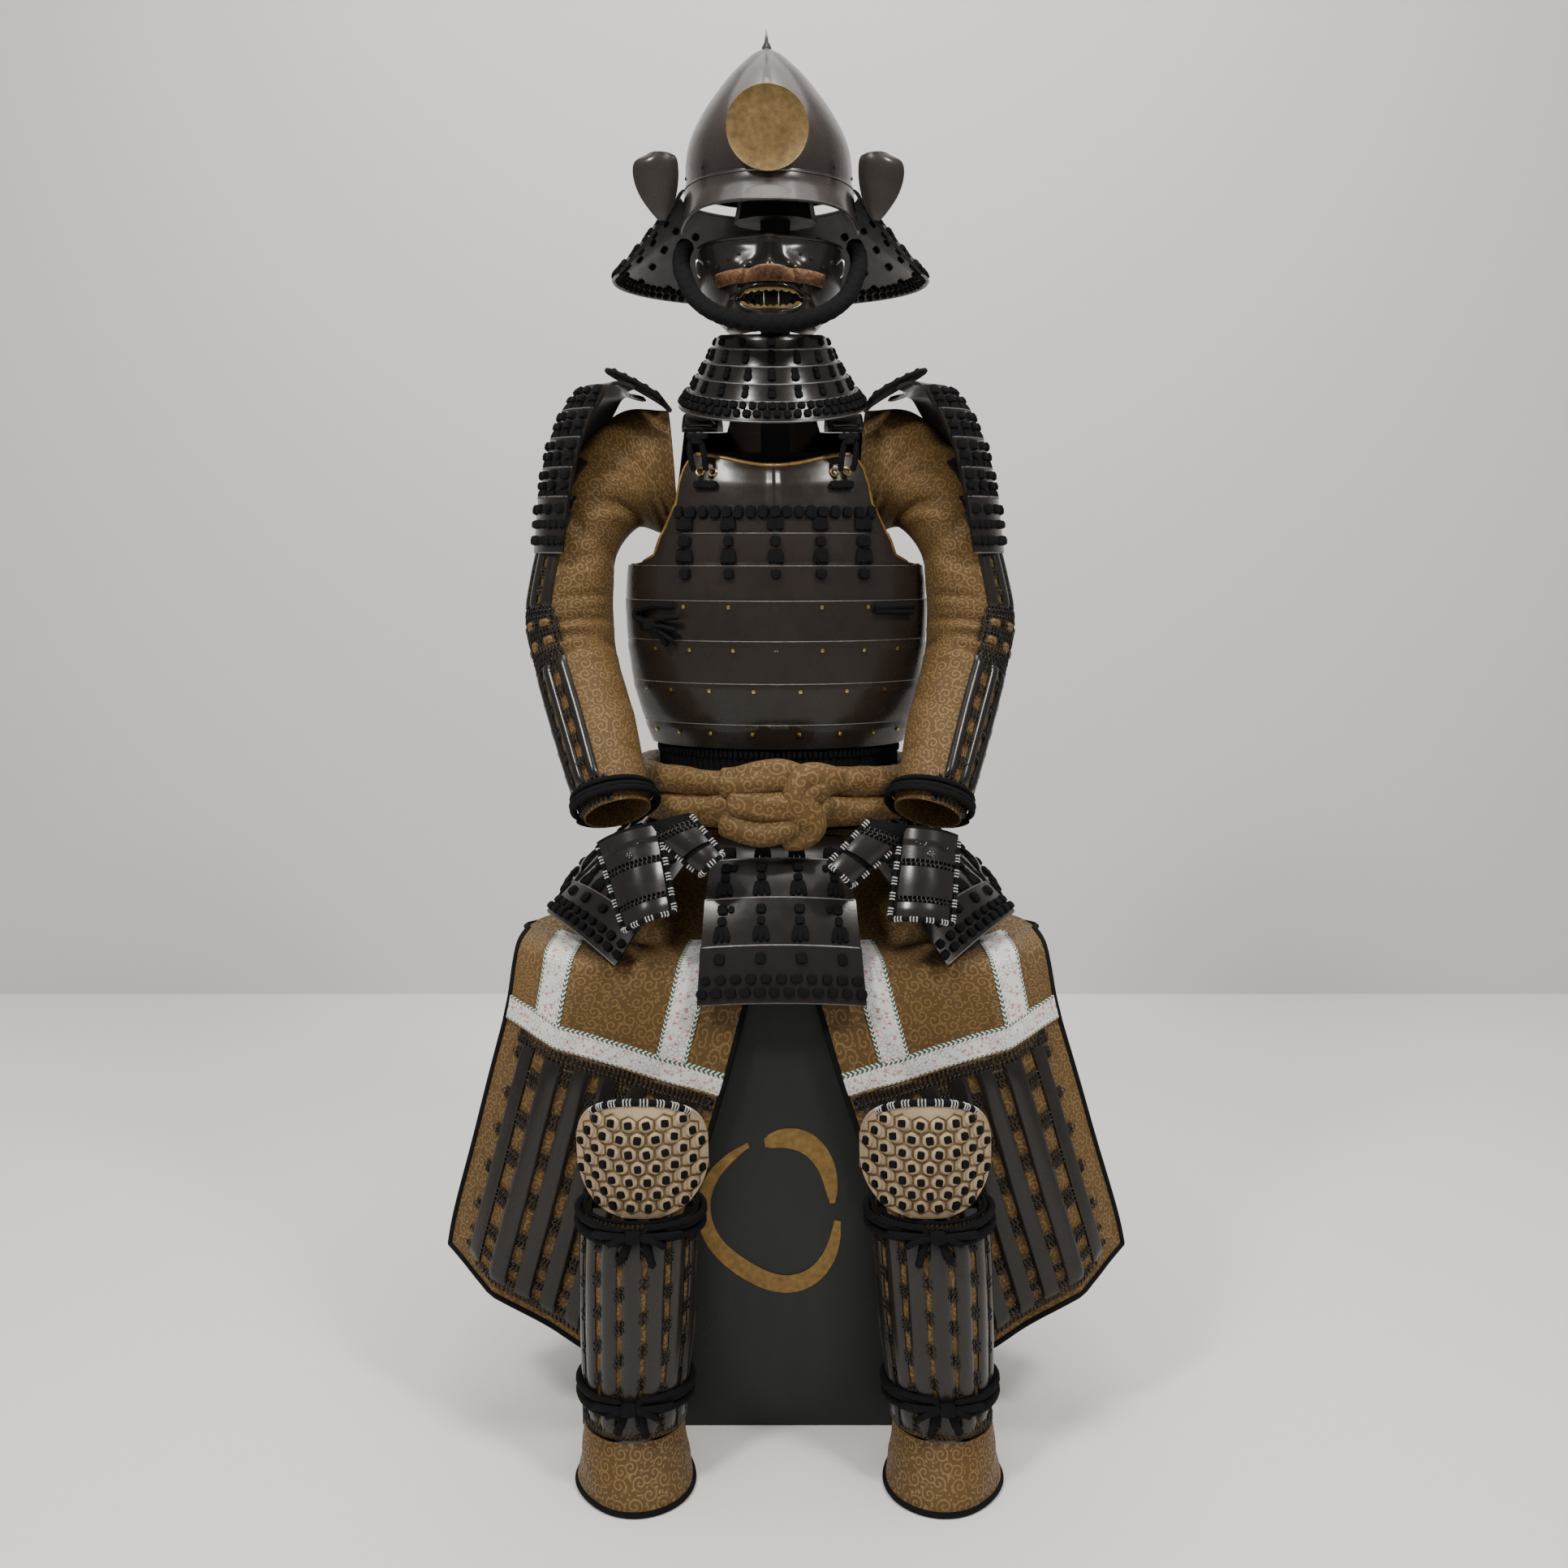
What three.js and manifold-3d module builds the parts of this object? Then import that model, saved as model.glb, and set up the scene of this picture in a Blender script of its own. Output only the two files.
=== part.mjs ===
// Samurai armour (tosei gusoku) seated on its storage box.
// Millimetres, +Z up. The armour faces -Y, +X is its left side, and the box stands on the floor at Z = 0.
// Pieces are drawn upright about X = 0, then the whole armour takes the slight sideways lean of the display.

import * as THREE from 'three';
import { mergeVertices } from 'three/addons/utils/BufferGeometryUtils.js';
import Module from 'manifold-3d';

const wasm = await Module();
wasm.setup();

// ---------------------------------------------------------------------------------------------
// Driving dimensions

const GAP = 0.3;
const CLOTH = 1.6;
const PLATE = 2.4;
const MAIL = 3;
const LAME_STEP = 2.6;
const LAME_LIP = 1.2;

const BOX = { width: 444, depth: 380, bodyHeight: 504, lidHeight: 40, lidOverhang: 3 };
const LID_TOP = BOX.bodyHeight + GAP + BOX.lidHeight;

const STAND = { post: 34, barWidth: 196, barDepth: 30, barHeight: 26, barTop: 1112 };
const STAND_HEAD = { top: 1432, topRadius: 36, radius: 48, height: 60, postStopsBelow: 20 };

const HELMET = { y: -20, rim: 1405, apex: 1558, halfWidth: 94.5, depthRatio: 1.22, spike: 20 };
const DISC = { radius: 44.5, thickness: 1.6, y: -149, z: 1443, tilt: 4 };
const HEAD = { y: -35 };
const CHEST = { sideAngle: 89 };
const ARM_SHIFT = -7;
const LEG = { y: -285 };

// The display leans: X shifts by this much for each millimetre of height.
const LEAN = { atFloor: 16, perHeight: -0.0164 };

// ---------------------------------------------------------------------------------------------
// Small geometry tools

const radians = THREE.MathUtils.degToRad;
const lerp = THREE.MathUtils.lerp;

function vector(x, y, z) {
  return new THREE.Vector3(x, y, z);
}

function spread(from, to, count) {
  return Array.from({ length: count }, (_, k) => lerp(from, to, k / (count - 1)));
}

// A point on an upright ellipse: the angle is measured from the front (-Y) towards +X.
function around(centreY, halfWidth, halfDepth, degrees, z) {
  const angle = radians(degrees);
  return vector(halfWidth * Math.sin(angle), centreY - halfDepth * Math.cos(angle), z);
}

// Reads a table of rows at any value of its first column, along straight lines between rows.
function readTable(table, key, value) {
  const keys = table.map((row) => row[key]);
  const rising = keys[0] < keys[keys.length - 1];
  let k = 0;
  while (k < keys.length - 2 && (rising ? value > keys[k + 1] : value < keys[k + 1])) {
    k += 1;
  }
  const t = THREE.MathUtils.clamp((value - keys[k]) / (keys[k + 1] - keys[k]), 0, 1);
  const result = {};
  for (const name of Object.keys(table[0])) {
    result[name] = lerp(table[k][name], table[k + 1][name], t);
  }
  return result;
}

// A cloth or plate surface: rows run down the piece, and the points of a row run across it, seen from
// outside from left to right. A closed surface is a tube, whose last column joins its first.
class Surface {
  constructor(rows, closed = false) {
    this.rows = rows;
    this.closed = closed;
    this.lastRow = rows.length - 1;
    this.lastColumn = rows[0].length - 1;
  }

  at(i, j) {
    const row = this.rows[i];
    return this.closed ? row[((j % row.length) + row.length) % row.length] : row[j];
  }

  normal(i, j) {
    const above = this.at(Math.max(i - 1, 0), j);
    const below = this.at(Math.min(i + 1, this.lastRow), j);
    const left = this.at(i, this.closed ? j - 1 : Math.max(j - 1, 0));
    const right = this.at(i, this.closed ? j + 1 : Math.min(j + 1, this.lastColumn));
    const down = below.clone().sub(above);
    return down.cross(right.clone().sub(left)).normalize();
  }

  moved(i, j, offset) {
    return this.at(i, j).clone().addScaledVector(this.normal(i, j), offset);
  }

  // The closed solid between two offsets of the surface, over all of it or over some rows and columns.
  wall(inner, outer, rowRange = [0, this.lastRow], columnRange = null) {
    const wrapped = this.closed && columnRange === null;
    const [firstRow, lastRow] = rowRange;
    const [firstColumn, lastColumn] = columnRange ?? [0, this.lastColumn];
    const columns = lastColumn - firstColumn + 1;
    const layerSize = (lastRow - firstRow + 1) * columns;
    const positions = [];
    for (const offset of [inner, outer]) {
      for (let i = firstRow; i <= lastRow; i += 1) {
        for (let j = firstColumn; j <= lastColumn; j += 1) {
          const distance = typeof offset === 'function' ? offset(i, j) : offset;
          positions.push(...this.moved(i, j, distance).toArray());
        }
      }
    }
    const inside = (i, j) => (i - firstRow) * columns + ((j - firstColumn) % columns);
    const outside = (i, j) => inside(i, j) + layerSize;
    const index = [];
    const quad = (a, b, c, d) => index.push(a, b, c, a, c, d);
    const endColumn = wrapped ? lastColumn + 1 : lastColumn;
    for (let j = firstColumn; j < endColumn; j += 1) {
      for (let i = firstRow; i < lastRow; i += 1) {
        quad(outside(i, j), outside(i + 1, j), outside(i + 1, j + 1), outside(i, j + 1));
        quad(inside(i, j), inside(i, j + 1), inside(i + 1, j + 1), inside(i + 1, j));
      }
      quad(outside(firstRow, j), outside(firstRow, j + 1), inside(firstRow, j + 1), inside(firstRow, j));
      quad(inside(lastRow, j), inside(lastRow, j + 1), outside(lastRow, j + 1), outside(lastRow, j));
    }
    for (let i = firstRow; i < lastRow && !wrapped; i += 1) {
      const [first, last] = [firstColumn, lastColumn];
      quad(inside(i, first), inside(i + 1, first), outside(i + 1, first), outside(i, first));
      quad(outside(i, last), outside(i + 1, last), inside(i + 1, last), inside(i, last));
    }
    return indexed(positions, index);
  }
}

function indexed(positions, index) {
  const geometry = new THREE.BufferGeometry();
  geometry.setAttribute('position', new THREE.Float32BufferAttribute(positions, 3));
  geometry.setIndex(index);
  return geometry;
}

function solidOf(geometry) {
  const bare = geometry.clone();
  bare.deleteAttribute('normal');
  bare.deleteAttribute('uv');
  const merged = mergeVertices(bare, 1e-4);
  return new wasm.Manifold(new wasm.Mesh({
    numProp: 3,
    vertProperties: new Float32Array(merged.attributes.position.array),
    triVerts: new Uint32Array(merged.index.array),
  }));
}

function geometryOf(solid) {
  const mesh = solid.getMesh();
  return indexed(Array.from(mesh.vertProperties), Array.from(mesh.triVerts));
}

function joined(...geometries) {
  return geometryOf(geometries.map(solidOf).reduce((whole, part) => whole.add(part)));
}

function cut(geometry, ...tools) {
  return geometryOf(tools.map(solidOf).reduce((whole, tool) => whole.subtract(tool), solidOf(geometry)));
}

function mirrored(geometry) {
  const copy = geometry.clone();
  copy.scale(-1, 1, 1);
  const index = copy.index.array;
  for (let k = 0; k < index.length; k += 3) {
    [index[k + 1], index[k + 2]] = [index[k + 2], index[k + 1]];
  }
  return copy;
}

// A round cord of the given radius along a smooth path.
function cordAlong(points, radius, steps, sides = 8) {
  const section = new THREE.Shape();
  for (let k = 0; k < sides; k += 1) {
    const angle = (2 * Math.PI * k) / sides;
    const place = k === 0 ? 'moveTo' : 'lineTo';
    section[place](radius * Math.cos(angle), radius * Math.sin(angle));
  }
  section.closePath();
  const extrudePath = new THREE.CatmullRomCurve3(points, false, 'centripetal');
  const geometry = new THREE.ExtrudeGeometry(section, { steps, bevelEnabled: false, extrudePath });
  geometry.deleteAttribute('normal');
  geometry.deleteAttribute('uv');
  return mergeVertices(geometry, 1e-4);
}

// ---------------------------------------------------------------------------------------------
// Materials and the scene graph

const FINISHES = {
  lacquer: { color: 0x2b2725, roughness: 0.25, metalness: 0.1 },
  gold: { color: 0x8a6520, roughness: 0.4, metalness: 0.6 },
  damask: { color: 0x6b4a22, roughness: 0.75, metalness: 0 },
  mail: { color: 0x1a1714, roughness: 0.6, metalness: 0.3 },
  cord: { color: 0x0c0c0e, roughness: 0.95, metalness: 0 },
  leather: { color: 0xb49a78, roughness: 0.8, metalness: 0 },
  whiteBand: { color: 0xd8d6cf, roughness: 0.8, metalness: 0 },
  bristle: { color: 0x7a4a1e, roughness: 0.95, metalness: 0 },
  boxPaint: { color: 0x0f1412, roughness: 0.6, metalness: 0 },
  standWood: { color: 0x15120f, roughness: 0.7, metalness: 0 },
};

const armour = new THREE.Group();

function addPiece(name, geometry, finish) {
  geometry.computeVertexNormals();
  const mesh = new THREE.Mesh(geometry, new THREE.MeshStandardMaterial(FINISHES[finish]));
  mesh.name = name;
  armour.add(mesh);
}

const leanMatrix = new THREE.Matrix4().set(
  1, 0, LEAN.perHeight, LEAN.atFloor,
  0, 1, 0, 0,
  0, 0, 1, 0,
  0, 0, 0, 1,
);

function addWorn(name, geometry, finish) {
  geometry.applyMatrix4(leanMatrix);
  addPiece(name, geometry, finish);
}

// Adds the left piece as drawn and the right piece as its mirror image, both moved across by a shift.
function addPair(name, geometry, finish, shift = 0) {
  const right = mirrored(geometry);
  geometry.translate(shift, 0, 0);
  right.translate(shift, 0, 0);
  addWorn(`${name}_left`, geometry, finish);
  addWorn(`${name}_right`, right, finish);
}

// ---------------------------------------------------------------------------------------------
// Storage box and the stand inside

function addBox() {
  const body = new THREE.BoxGeometry(BOX.width, BOX.depth, BOX.bodyHeight);
  body.translate(0, 0, BOX.bodyHeight / 2);
  addPiece('box_body', body, 'boxPaint');
  const overhang = 2 * BOX.lidOverhang;
  const lid = new THREE.BoxGeometry(BOX.width + overhang, BOX.depth + overhang, BOX.lidHeight);
  lid.translate(0, 0, BOX.bodyHeight + GAP + BOX.lidHeight / 2);
  addPiece('box_lid', lid, 'boxPaint');
}

function addStand() {
  const foot = LID_TOP + GAP;
  const postTop = STAND_HEAD.top - STAND_HEAD.postStopsBelow;
  const post = new THREE.BoxGeometry(STAND.post, STAND.post, postTop - foot);
  post.translate(0, 0, (postTop + foot) / 2);
  const bar = new THREE.BoxGeometry(STAND.barWidth, STAND.barDepth, STAND.barHeight);
  bar.translate(0, 0, STAND.barTop - STAND.barHeight / 2);
  const head = new THREE.CylinderGeometry(STAND_HEAD.topRadius, STAND_HEAD.radius, STAND_HEAD.height, 12);
  head.rotateX(Math.PI / 2);
  head.translate(0, 0, STAND_HEAD.top - STAND_HEAD.height / 2);
  addPiece('stand_post', joined(post, bar, head), 'standWood');
}

// ---------------------------------------------------------------------------------------------
// Helmet

const BOWL_PROFILE = [
  { z: 1558, halfWidth: 3 },
  { z: 1550, halfWidth: 17 },
  { z: 1537, halfWidth: 32 },
  { z: 1520, halfWidth: 48 },
  { z: 1487, halfWidth: 72.5 },
  { z: 1455, halfWidth: 89 },
  { z: 1427, halfWidth: 94.5 },
  { z: 1405, halfWidth: 93.5 },
];

function addHelmetBowl() {
  const outline = BOWL_PROFILE.map((row) => new THREE.Vector2(row.halfWidth, row.z));
  const inner = BOWL_PROFILE.slice(1).map((row) => new THREE.Vector2(row.halfWidth - PLATE - 0.6, row.z - 2));
  inner[inner.length - 1].y = HELMET.rim;
  const profile = [
    new THREE.Vector2(0, HELMET.apex - 12),
    ...inner,
    ...outline.reverse(),
    new THREE.Vector2(0, HELMET.apex + 1),
  ];
  const bowl = new THREE.LatheGeometry(profile, 20);
  bowl.rotateX(Math.PI / 2);
  bowl.scale(1, HELMET.depthRatio, 1);
  bowl.translate(0, HELMET.y, 0);
  const spike = new THREE.CylinderGeometry(1, 4, HELMET.spike + 6, 8);
  spike.rotateX(Math.PI / 2);
  spike.translate(0, HELMET.y, HELMET.apex + HELMET.spike / 2 - 2);
  addWorn('helmet_bowl', joined(bowl, spike), 'lacquer');
}

const VISOR_ROWS = [
  { z: 1404.5, reach: 0, dip: 0 },
  { z: 1392, reach: 4, dip: 0.15 },
  { z: 1380, reach: 12, dip: 0.6 },
  { z: 1368, reach: 21, dip: 1 },
];
const VISOR = { halfAngle: 98, tipAngle: 78, tipWidth: 0.3, tipDip: 15, tipNarrow: 0.55, sideReach: 0.75 };

function visorSurface() {
  const angles = spread(-VISOR.halfAngle, VISOR.halfAngle, 15);
  const rows = VISOR_ROWS.map((row) => angles.map((angle) => {
    const side = Math.abs(angle) / VISOR.tipAngle;
    const tip = Math.exp(-(((side - 1) / VISOR.tipWidth) ** 2));
    const reach = row.reach * (1 - VISOR.tipNarrow * Math.min(1, side ** 3));
    const base = HELMET.halfWidth - 1;
    const z = row.z - row.dip * VISOR.tipDip * tip;
    return around(HELMET.y, base + reach * VISOR.sideReach, base * HELMET.depthRatio + reach, angle, z);
  }));
  return new Surface(rows);
}

const NECK_GUARD = { top: 1396, bottom: 1303, lames: 5, halfAngle: 111 };
const NECK_GUARD_TOP = { y: -20, halfWidth: 100, halfDepth: 121 };
const NECK_GUARD_BOTTOM = { y: -6, halfWidth: 180, halfDepth: 184 };

// Rows of a plate built of lames: each lame ends with a row just above the next one's raised top edge.
function lameSteps(count, lip) {
  const steps = [{ t: 0, raised: 1 }];
  for (let k = 1; k < count; k += 1) {
    steps.push({ t: k / count - lip / 2, raised: 0 });
    steps.push({ t: k / count + lip / 2, raised: 1 });
  }
  steps.push({ t: 1, raised: 0 });
  return steps;
}

function lameWall(surface, steps) {
  return surface.wall(0, (i) => PLATE + LAME_STEP * steps[i].raised);
}

function addNeckGuard() {
  const steps = lameSteps(NECK_GUARD.lames, LAME_LIP / (NECK_GUARD.top - NECK_GUARD.bottom));
  const angles = spread(180 - NECK_GUARD.halfAngle, 180 + NECK_GUARD.halfAngle, 15);
  const rows = steps.map(({ t }) => angles.map((angle) => around(
    lerp(NECK_GUARD_TOP.y, NECK_GUARD_BOTTOM.y, t),
    lerp(NECK_GUARD_TOP.halfWidth, NECK_GUARD_BOTTOM.halfWidth, t),
    lerp(NECK_GUARD_TOP.halfDepth, NECK_GUARD_BOTTOM.halfDepth, t),
    angle,
    lerp(NECK_GUARD.top, NECK_GUARD.bottom, t),
  )));
  addWorn('helmet_neck_guard', lameWall(new Surface(rows), steps), 'lacquer');
}

// The turned-back ears beside the visor: each row is one level of the leaf outline.
const EAR_ROWS = [
  { z: 1427, inner: 103, outer: 133, y: -84 },
  { z: 1420, inner: 101, outer: 146, y: -83 },
  { z: 1405, inner: 101, outer: 147, y: -80 },
  { z: 1388, inner: 104, outer: 141, y: -77 },
  { z: 1372, inner: 110, outer: 130, y: -76 },
  { z: 1362, inner: 116, outer: 121, y: -75 },
];
const EAR_BULGE = 9;

function addEars() {
  const rows = EAR_ROWS.map((row) => spread(-1, 1, 5).map((q) => {
    const x = lerp(row.inner, row.outer, (q + 1) / 2);
    return vector(x, row.y - EAR_BULGE * (1 - q * q) * ((row.outer - row.inner) / 46), row.z);
  }));
  addPair('helmet_ear', new Surface(rows).wall(0, PLATE), 'lacquer');
}

function addDisc() {
  const disc = new THREE.CylinderGeometry(DISC.radius, DISC.radius, DISC.thickness, 32);
  disc.rotateX(radians(DISC.tilt));
  disc.translate(0, DISC.y, DISC.z);
  addWorn('helmet_disc', disc, 'gold');
  const holder = new THREE.BoxGeometry(12, 7, 26);
  holder.rotateX(radians(DISC.tilt));
  holder.translate(0, DISC.y + 6.4, DISC.z - 22);
  addWorn('disc_holder', holder, 'lacquer');
}

// ---------------------------------------------------------------------------------------------
// Mask and throat guard

const MASK_ROWS = [
  { z: 1335, halfWidth: 81, halfDepth: 90 },
  { z: 1320, halfWidth: 82, halfDepth: 94 },
  { z: 1303, halfWidth: 82, halfDepth: 97 },
  { z: 1292, halfWidth: 80, halfDepth: 98 },
  { z: 1281, halfWidth: 77, halfDepth: 98 },
  { z: 1262, halfWidth: 67, halfDepth: 96 },
  { z: 1248, halfWidth: 54, halfDepth: 92 },
  { z: 1237, halfWidth: 42, halfDepth: 84 },
];
const MASK_ANGLES = [-85, -65, -45, -25, -12, 0, 12, 25, 45, 65, 85];
const NOSE = { z: 1312, height: 20, halfWidth: 11, halfHeight: 15 };
const MOUTH = { z: 1270, halfWidth: 37, halfHeight: 10.5 };
const MOUSTACHE = { rows: [2, 4], columns: [2, 8], thickness: 8 };

function maskSurface() {
  const rows = MASK_ROWS.map((row) => MASK_ANGLES.map((angle) => {
    const point = around(HEAD.y, row.halfWidth, row.halfDepth, angle, row.z);
    const across = (point.x / NOSE.halfWidth) ** 2;
    const along = ((row.z - NOSE.z) / NOSE.halfHeight) ** 2;
    point.y -= NOSE.height * Math.exp(-across - along);
    return point;
  }));
  return new Surface(rows);
}

function addMask() {
  const surface = maskSurface();
  const mouth = new THREE.Shape();
  mouth.absellipse(0, 0, MOUTH.halfWidth, MOUTH.halfHeight, 0, 2 * Math.PI);
  const opening = new THREE.ExtrudeGeometry(mouth, { depth: 120, bevelEnabled: false, curveSegments: 10 });
  opening.rotateX(Math.PI / 2);
  opening.translate(0, HEAD.y - 40, MOUTH.z);
  addWorn('mask', cut(surface.wall(-PLATE, 0), opening), 'lacquer');
  const moustache = surface.wall(GAP, GAP + MOUSTACHE.thickness, MOUSTACHE.rows, MOUSTACHE.columns);
  addWorn('mask_moustache', moustache, 'bristle');
}

const THROAT = { y: -45, top: 1234, bottom: 1137, tiers: 5, halfAngle: 104, topRise: 6, bottomRise: 25 };
const THROAT_TOP = { halfWidth: 57, halfDepth: 62 };
const THROAT_BOTTOM = { halfWidth: 105, halfDepth: 96 };

function addThroatGuard() {
  const steps = lameSteps(THROAT.tiers, LAME_LIP / (THROAT.top - THROAT.bottom));
  const angles = spread(-THROAT.halfAngle, THROAT.halfAngle, 13);
  const rows = steps.map(({ t }) => angles.map((angle) => {
    const rise = lerp(THROAT.topRise, THROAT.bottomRise, t) * (1 - Math.cos(radians(angle)));
    return around(
      THROAT.y,
      lerp(THROAT_TOP.halfWidth, THROAT_BOTTOM.halfWidth, t),
      lerp(THROAT_TOP.halfDepth, THROAT_BOTTOM.halfDepth, t),
      angle,
      lerp(THROAT.top, THROAT.bottom, t) + rise,
    );
  }));
  addWorn('throat_guard', lameWall(new Surface(rows), steps), 'lacquer');
}

// ---------------------------------------------------------------------------------------------
// Cuirass

// edge is how far the plate reaches sideways: above the arm openings it stops short of the side.
const FRONT_SECTIONS = [
  { z: 1106, halfWidth: 150, halfDepth: 102, edge: 88, sag: 13 },
  { z: 1095, halfWidth: 154, halfDepth: 106, edge: 99, sag: 8 },
  { z: 1075, halfWidth: 160, halfDepth: 112, edge: 106, sag: 2 },
  { z: 1050, halfWidth: 165, halfDepth: 116, edge: 111, sag: 0 },
  { z: 1030, halfWidth: 168, halfDepth: 119, edge: 121, sag: 0 },
  { z: 1010, halfWidth: 171, halfDepth: 122, edge: 131, sag: 0 },
  { z: 992, halfWidth: 173, halfDepth: 124, edge: 138, sag: 0 },
  { z: 986, halfWidth: 174, halfDepth: 124, edge: 152, sag: 0 },
  { z: 982, halfWidth: 174, halfDepth: 125, edge: 171, sag: 0 },
  { z: 950, halfWidth: 177, halfDepth: 127, edge: 177, sag: 0 },
  { z: 900, halfWidth: 177, halfDepth: 127, edge: 177, sag: 0 },
  { z: 850, halfWidth: 172, halfDepth: 124, edge: 172, sag: 0 },
  { z: 810, halfWidth: 162, halfDepth: 118, edge: 162, sag: 0 },
  { z: 775, halfWidth: 150, halfDepth: 110, edge: 150, sag: 0 },
];
const BACK_SECTIONS = [
  { z: 1168, halfWidth: 138, halfDepth: 90, edge: 50, sag: 0 },
  { z: 1141, halfWidth: 142, halfDepth: 94, edge: 57, sag: 0 },
  { z: 1140, halfWidth: 142, halfDepth: 94, edge: 108, sag: 0 },
  { z: 1100, halfWidth: 152, halfDepth: 102, edge: 114, sag: 0 },
  { z: 1050, halfWidth: 165, halfDepth: 108, edge: 122, sag: 0 },
  { z: 1000, halfWidth: 172, halfDepth: 113, edge: 138, sag: 0 },
  { z: 986, halfWidth: 174, halfDepth: 114, edge: 152, sag: 0 },
  { z: 982, halfWidth: 174, halfDepth: 114, edge: 171, sag: 0 },
  { z: 950, halfWidth: 177, halfDepth: 115, edge: 177, sag: 0 },
  { z: 900, halfWidth: 177, halfDepth: 114, edge: 177, sag: 0 },
  { z: 850, halfWidth: 172, halfDepth: 112, edge: 172, sag: 0 },
  { z: 810, halfWidth: 162, halfDepth: 108, edge: 162, sag: 0 },
  { z: 775, halfWidth: 150, halfDepth: 102, edge: 150, sag: 0 },
];

function chestSurface(sections, turn) {
  const rows = sections.map((row) => {
    const widest = Math.sin(radians(CHEST.sideAngle));
    const reach = THREE.MathUtils.radToDeg(Math.asin(Math.min(row.edge / row.halfWidth, widest)));
    return spread(-1, 1, 11).map((q) => {
      const z = row.z - row.sag * Math.cos((Math.PI / 2) * q) ** 2;
      const point = around(0, row.halfWidth, row.halfDepth, reach * q, z);
      return vector(point.x * turn, point.y * turn, point.z);
    });
  });
  return new Surface(rows);
}

// Shoulder straps run from the back plate over the shoulder to the front.
const STRAP_PATH = [
  { y: 104, z: 1143 },
  { y: 60, z: 1150 },
  { y: 0, z: 1152 },
  { y: -50, z: 1146 },
  { y: -86, z: 1130 },
];
const STRAP = { inner: 62, outer: 102, thickness: 4 };

function addCuirass() {
  addWorn('cuirass_front', chestSurface(FRONT_SECTIONS, 1).wall(-PLATE, 0), 'lacquer');
  addWorn('cuirass_back', chestSurface(BACK_SECTIONS, -1).wall(-PLATE, 0), 'lacquer');
  const rows = STRAP_PATH.map(({ y, z }) => spread(STRAP.inner, STRAP.outer, 3).map((x) => vector(x, y, z)));
  addPair('shoulder_strap', new Surface(rows).wall(0, STRAP.thickness), 'leather');
}

// Black cords, each through two eyelets of the front plate, up round the toggle of its strap.
const TOGGLE_TIE = [
  [75, -106, 1086],
  [76, -112, 1100],
  [80, -113, 1118],
  [88, -110, 1126],
  [92, -112, 1113],
  [91, -110, 1098],
  [88, -105, 1086],
];

const SIDE_TIES = {
  left: [[112, -105, 935], [138, -86, 936], [158, -66, 935]],
  right: [
    [-116, -105, 936],
    [-138, -87, 937],
    [-158, -68, 931],
    [-160, -67, 922],
    [-141, -87, 914],
    [-122, -103, 892],
  ],
};
const SIDE_TIE_RADIUS = 4.5;
const TOGGLE_TIE_RADIUS = 3.5;

function addCuirassCords() {
  const toggleTie = TOGGLE_TIE.map((point) => vector(...point));
  addPair('toggle_tie', cordAlong(toggleTie, TOGGLE_TIE_RADIUS, 12), 'cord');
  for (const [side, points] of Object.entries(SIDE_TIES)) {
    const path = points.map((point) => vector(...point));
    addWorn(`side_tie_${side}`, cordAlong(path, SIDE_TIE_RADIUS, 2 * path.length + 2), 'cord');
  }
}

// ---------------------------------------------------------------------------------------------
// Waist: lacing, sash and tassets

const WAIST = { halfWidth: 138, halfDepth: 102, top: 774.6, bottom: 684, lacingThickness: 5 };

function addWaistLacing() {
  const rows = spread(WAIST.top, WAIST.bottom, 3).map((z) => (
    spread(0, 340, 18).map((angle) => around(0, WAIST.halfWidth, WAIST.halfDepth, angle, z))
  ));
  addWorn('waist_lacing', new Surface(rows, true).wall(0, WAIST.lacingThickness), 'cord');
}

// The sash is two rolls of padded cloth, one above the other, tied in front in a knot.
const SASH_ROLLS = [
  { z: 737, halfWidth: 165, halfDepth: 128, thickness: 18, height: 19 },
  { z: 707, halfWidth: 167, halfDepth: 133, thickness: 19, height: 20 },
];
const KNOT = { y: -166, z: 727, halfWidth: 74, halfDepth: 29, halfHeight: 50 };
const KNOT_CLEARANCE = 0.6;

function rollSurface(roll) {
  const rows = spread(0, 345, 24).map((angle) => spread(0, 315, 8).map((turn) => {
    const section = radians(turn);
    const out = roll.thickness * Math.cos(section);
    const z = roll.z + roll.height * Math.sin(section);
    return around(0, roll.halfWidth + out, roll.halfDepth + out, angle, z);
  }));
  return rows;
}

// A closed ring: its rows are sections of the roll, and the last section joins the first.
function ringSolid(sections) {
  const count = sections.length;
  const sides = sections[0].length;
  const index = [];
  for (let i = 0; i < count; i += 1) {
    for (let j = 0; j < sides; j += 1) {
      const a = i * sides + j;
      const b = ((i + 1) % count) * sides + j;
      const c = ((i + 1) % count) * sides + ((j + 1) % sides);
      const d = i * sides + ((j + 1) % sides);
      index.push(a, b, c, a, c, d);
    }
  }
  return indexed(sections.flat().flatMap((point) => point.toArray()), index);
}

function addSash() {
  const rolls = SASH_ROLLS.map((roll) => ringSolid(rollSurface(roll)));
  const roomy = SASH_ROLLS.map((roll) => ringSolid(rollSurface({
    ...roll,
    thickness: roll.thickness + KNOT_CLEARANCE,
    height: roll.height + KNOT_CLEARANCE,
  })));
  addWorn('sash_wrap', joined(...rolls), 'damask');
  const knot = new THREE.SphereGeometry(1, 14, 9);
  knot.scale(KNOT.halfWidth, KNOT.halfDepth, KNOT.halfHeight);
  knot.translate(0, KNOT.y, KNOT.z);
  addWorn('sash_knot', cut(knot, ...roomy), 'damask');
}

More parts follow.
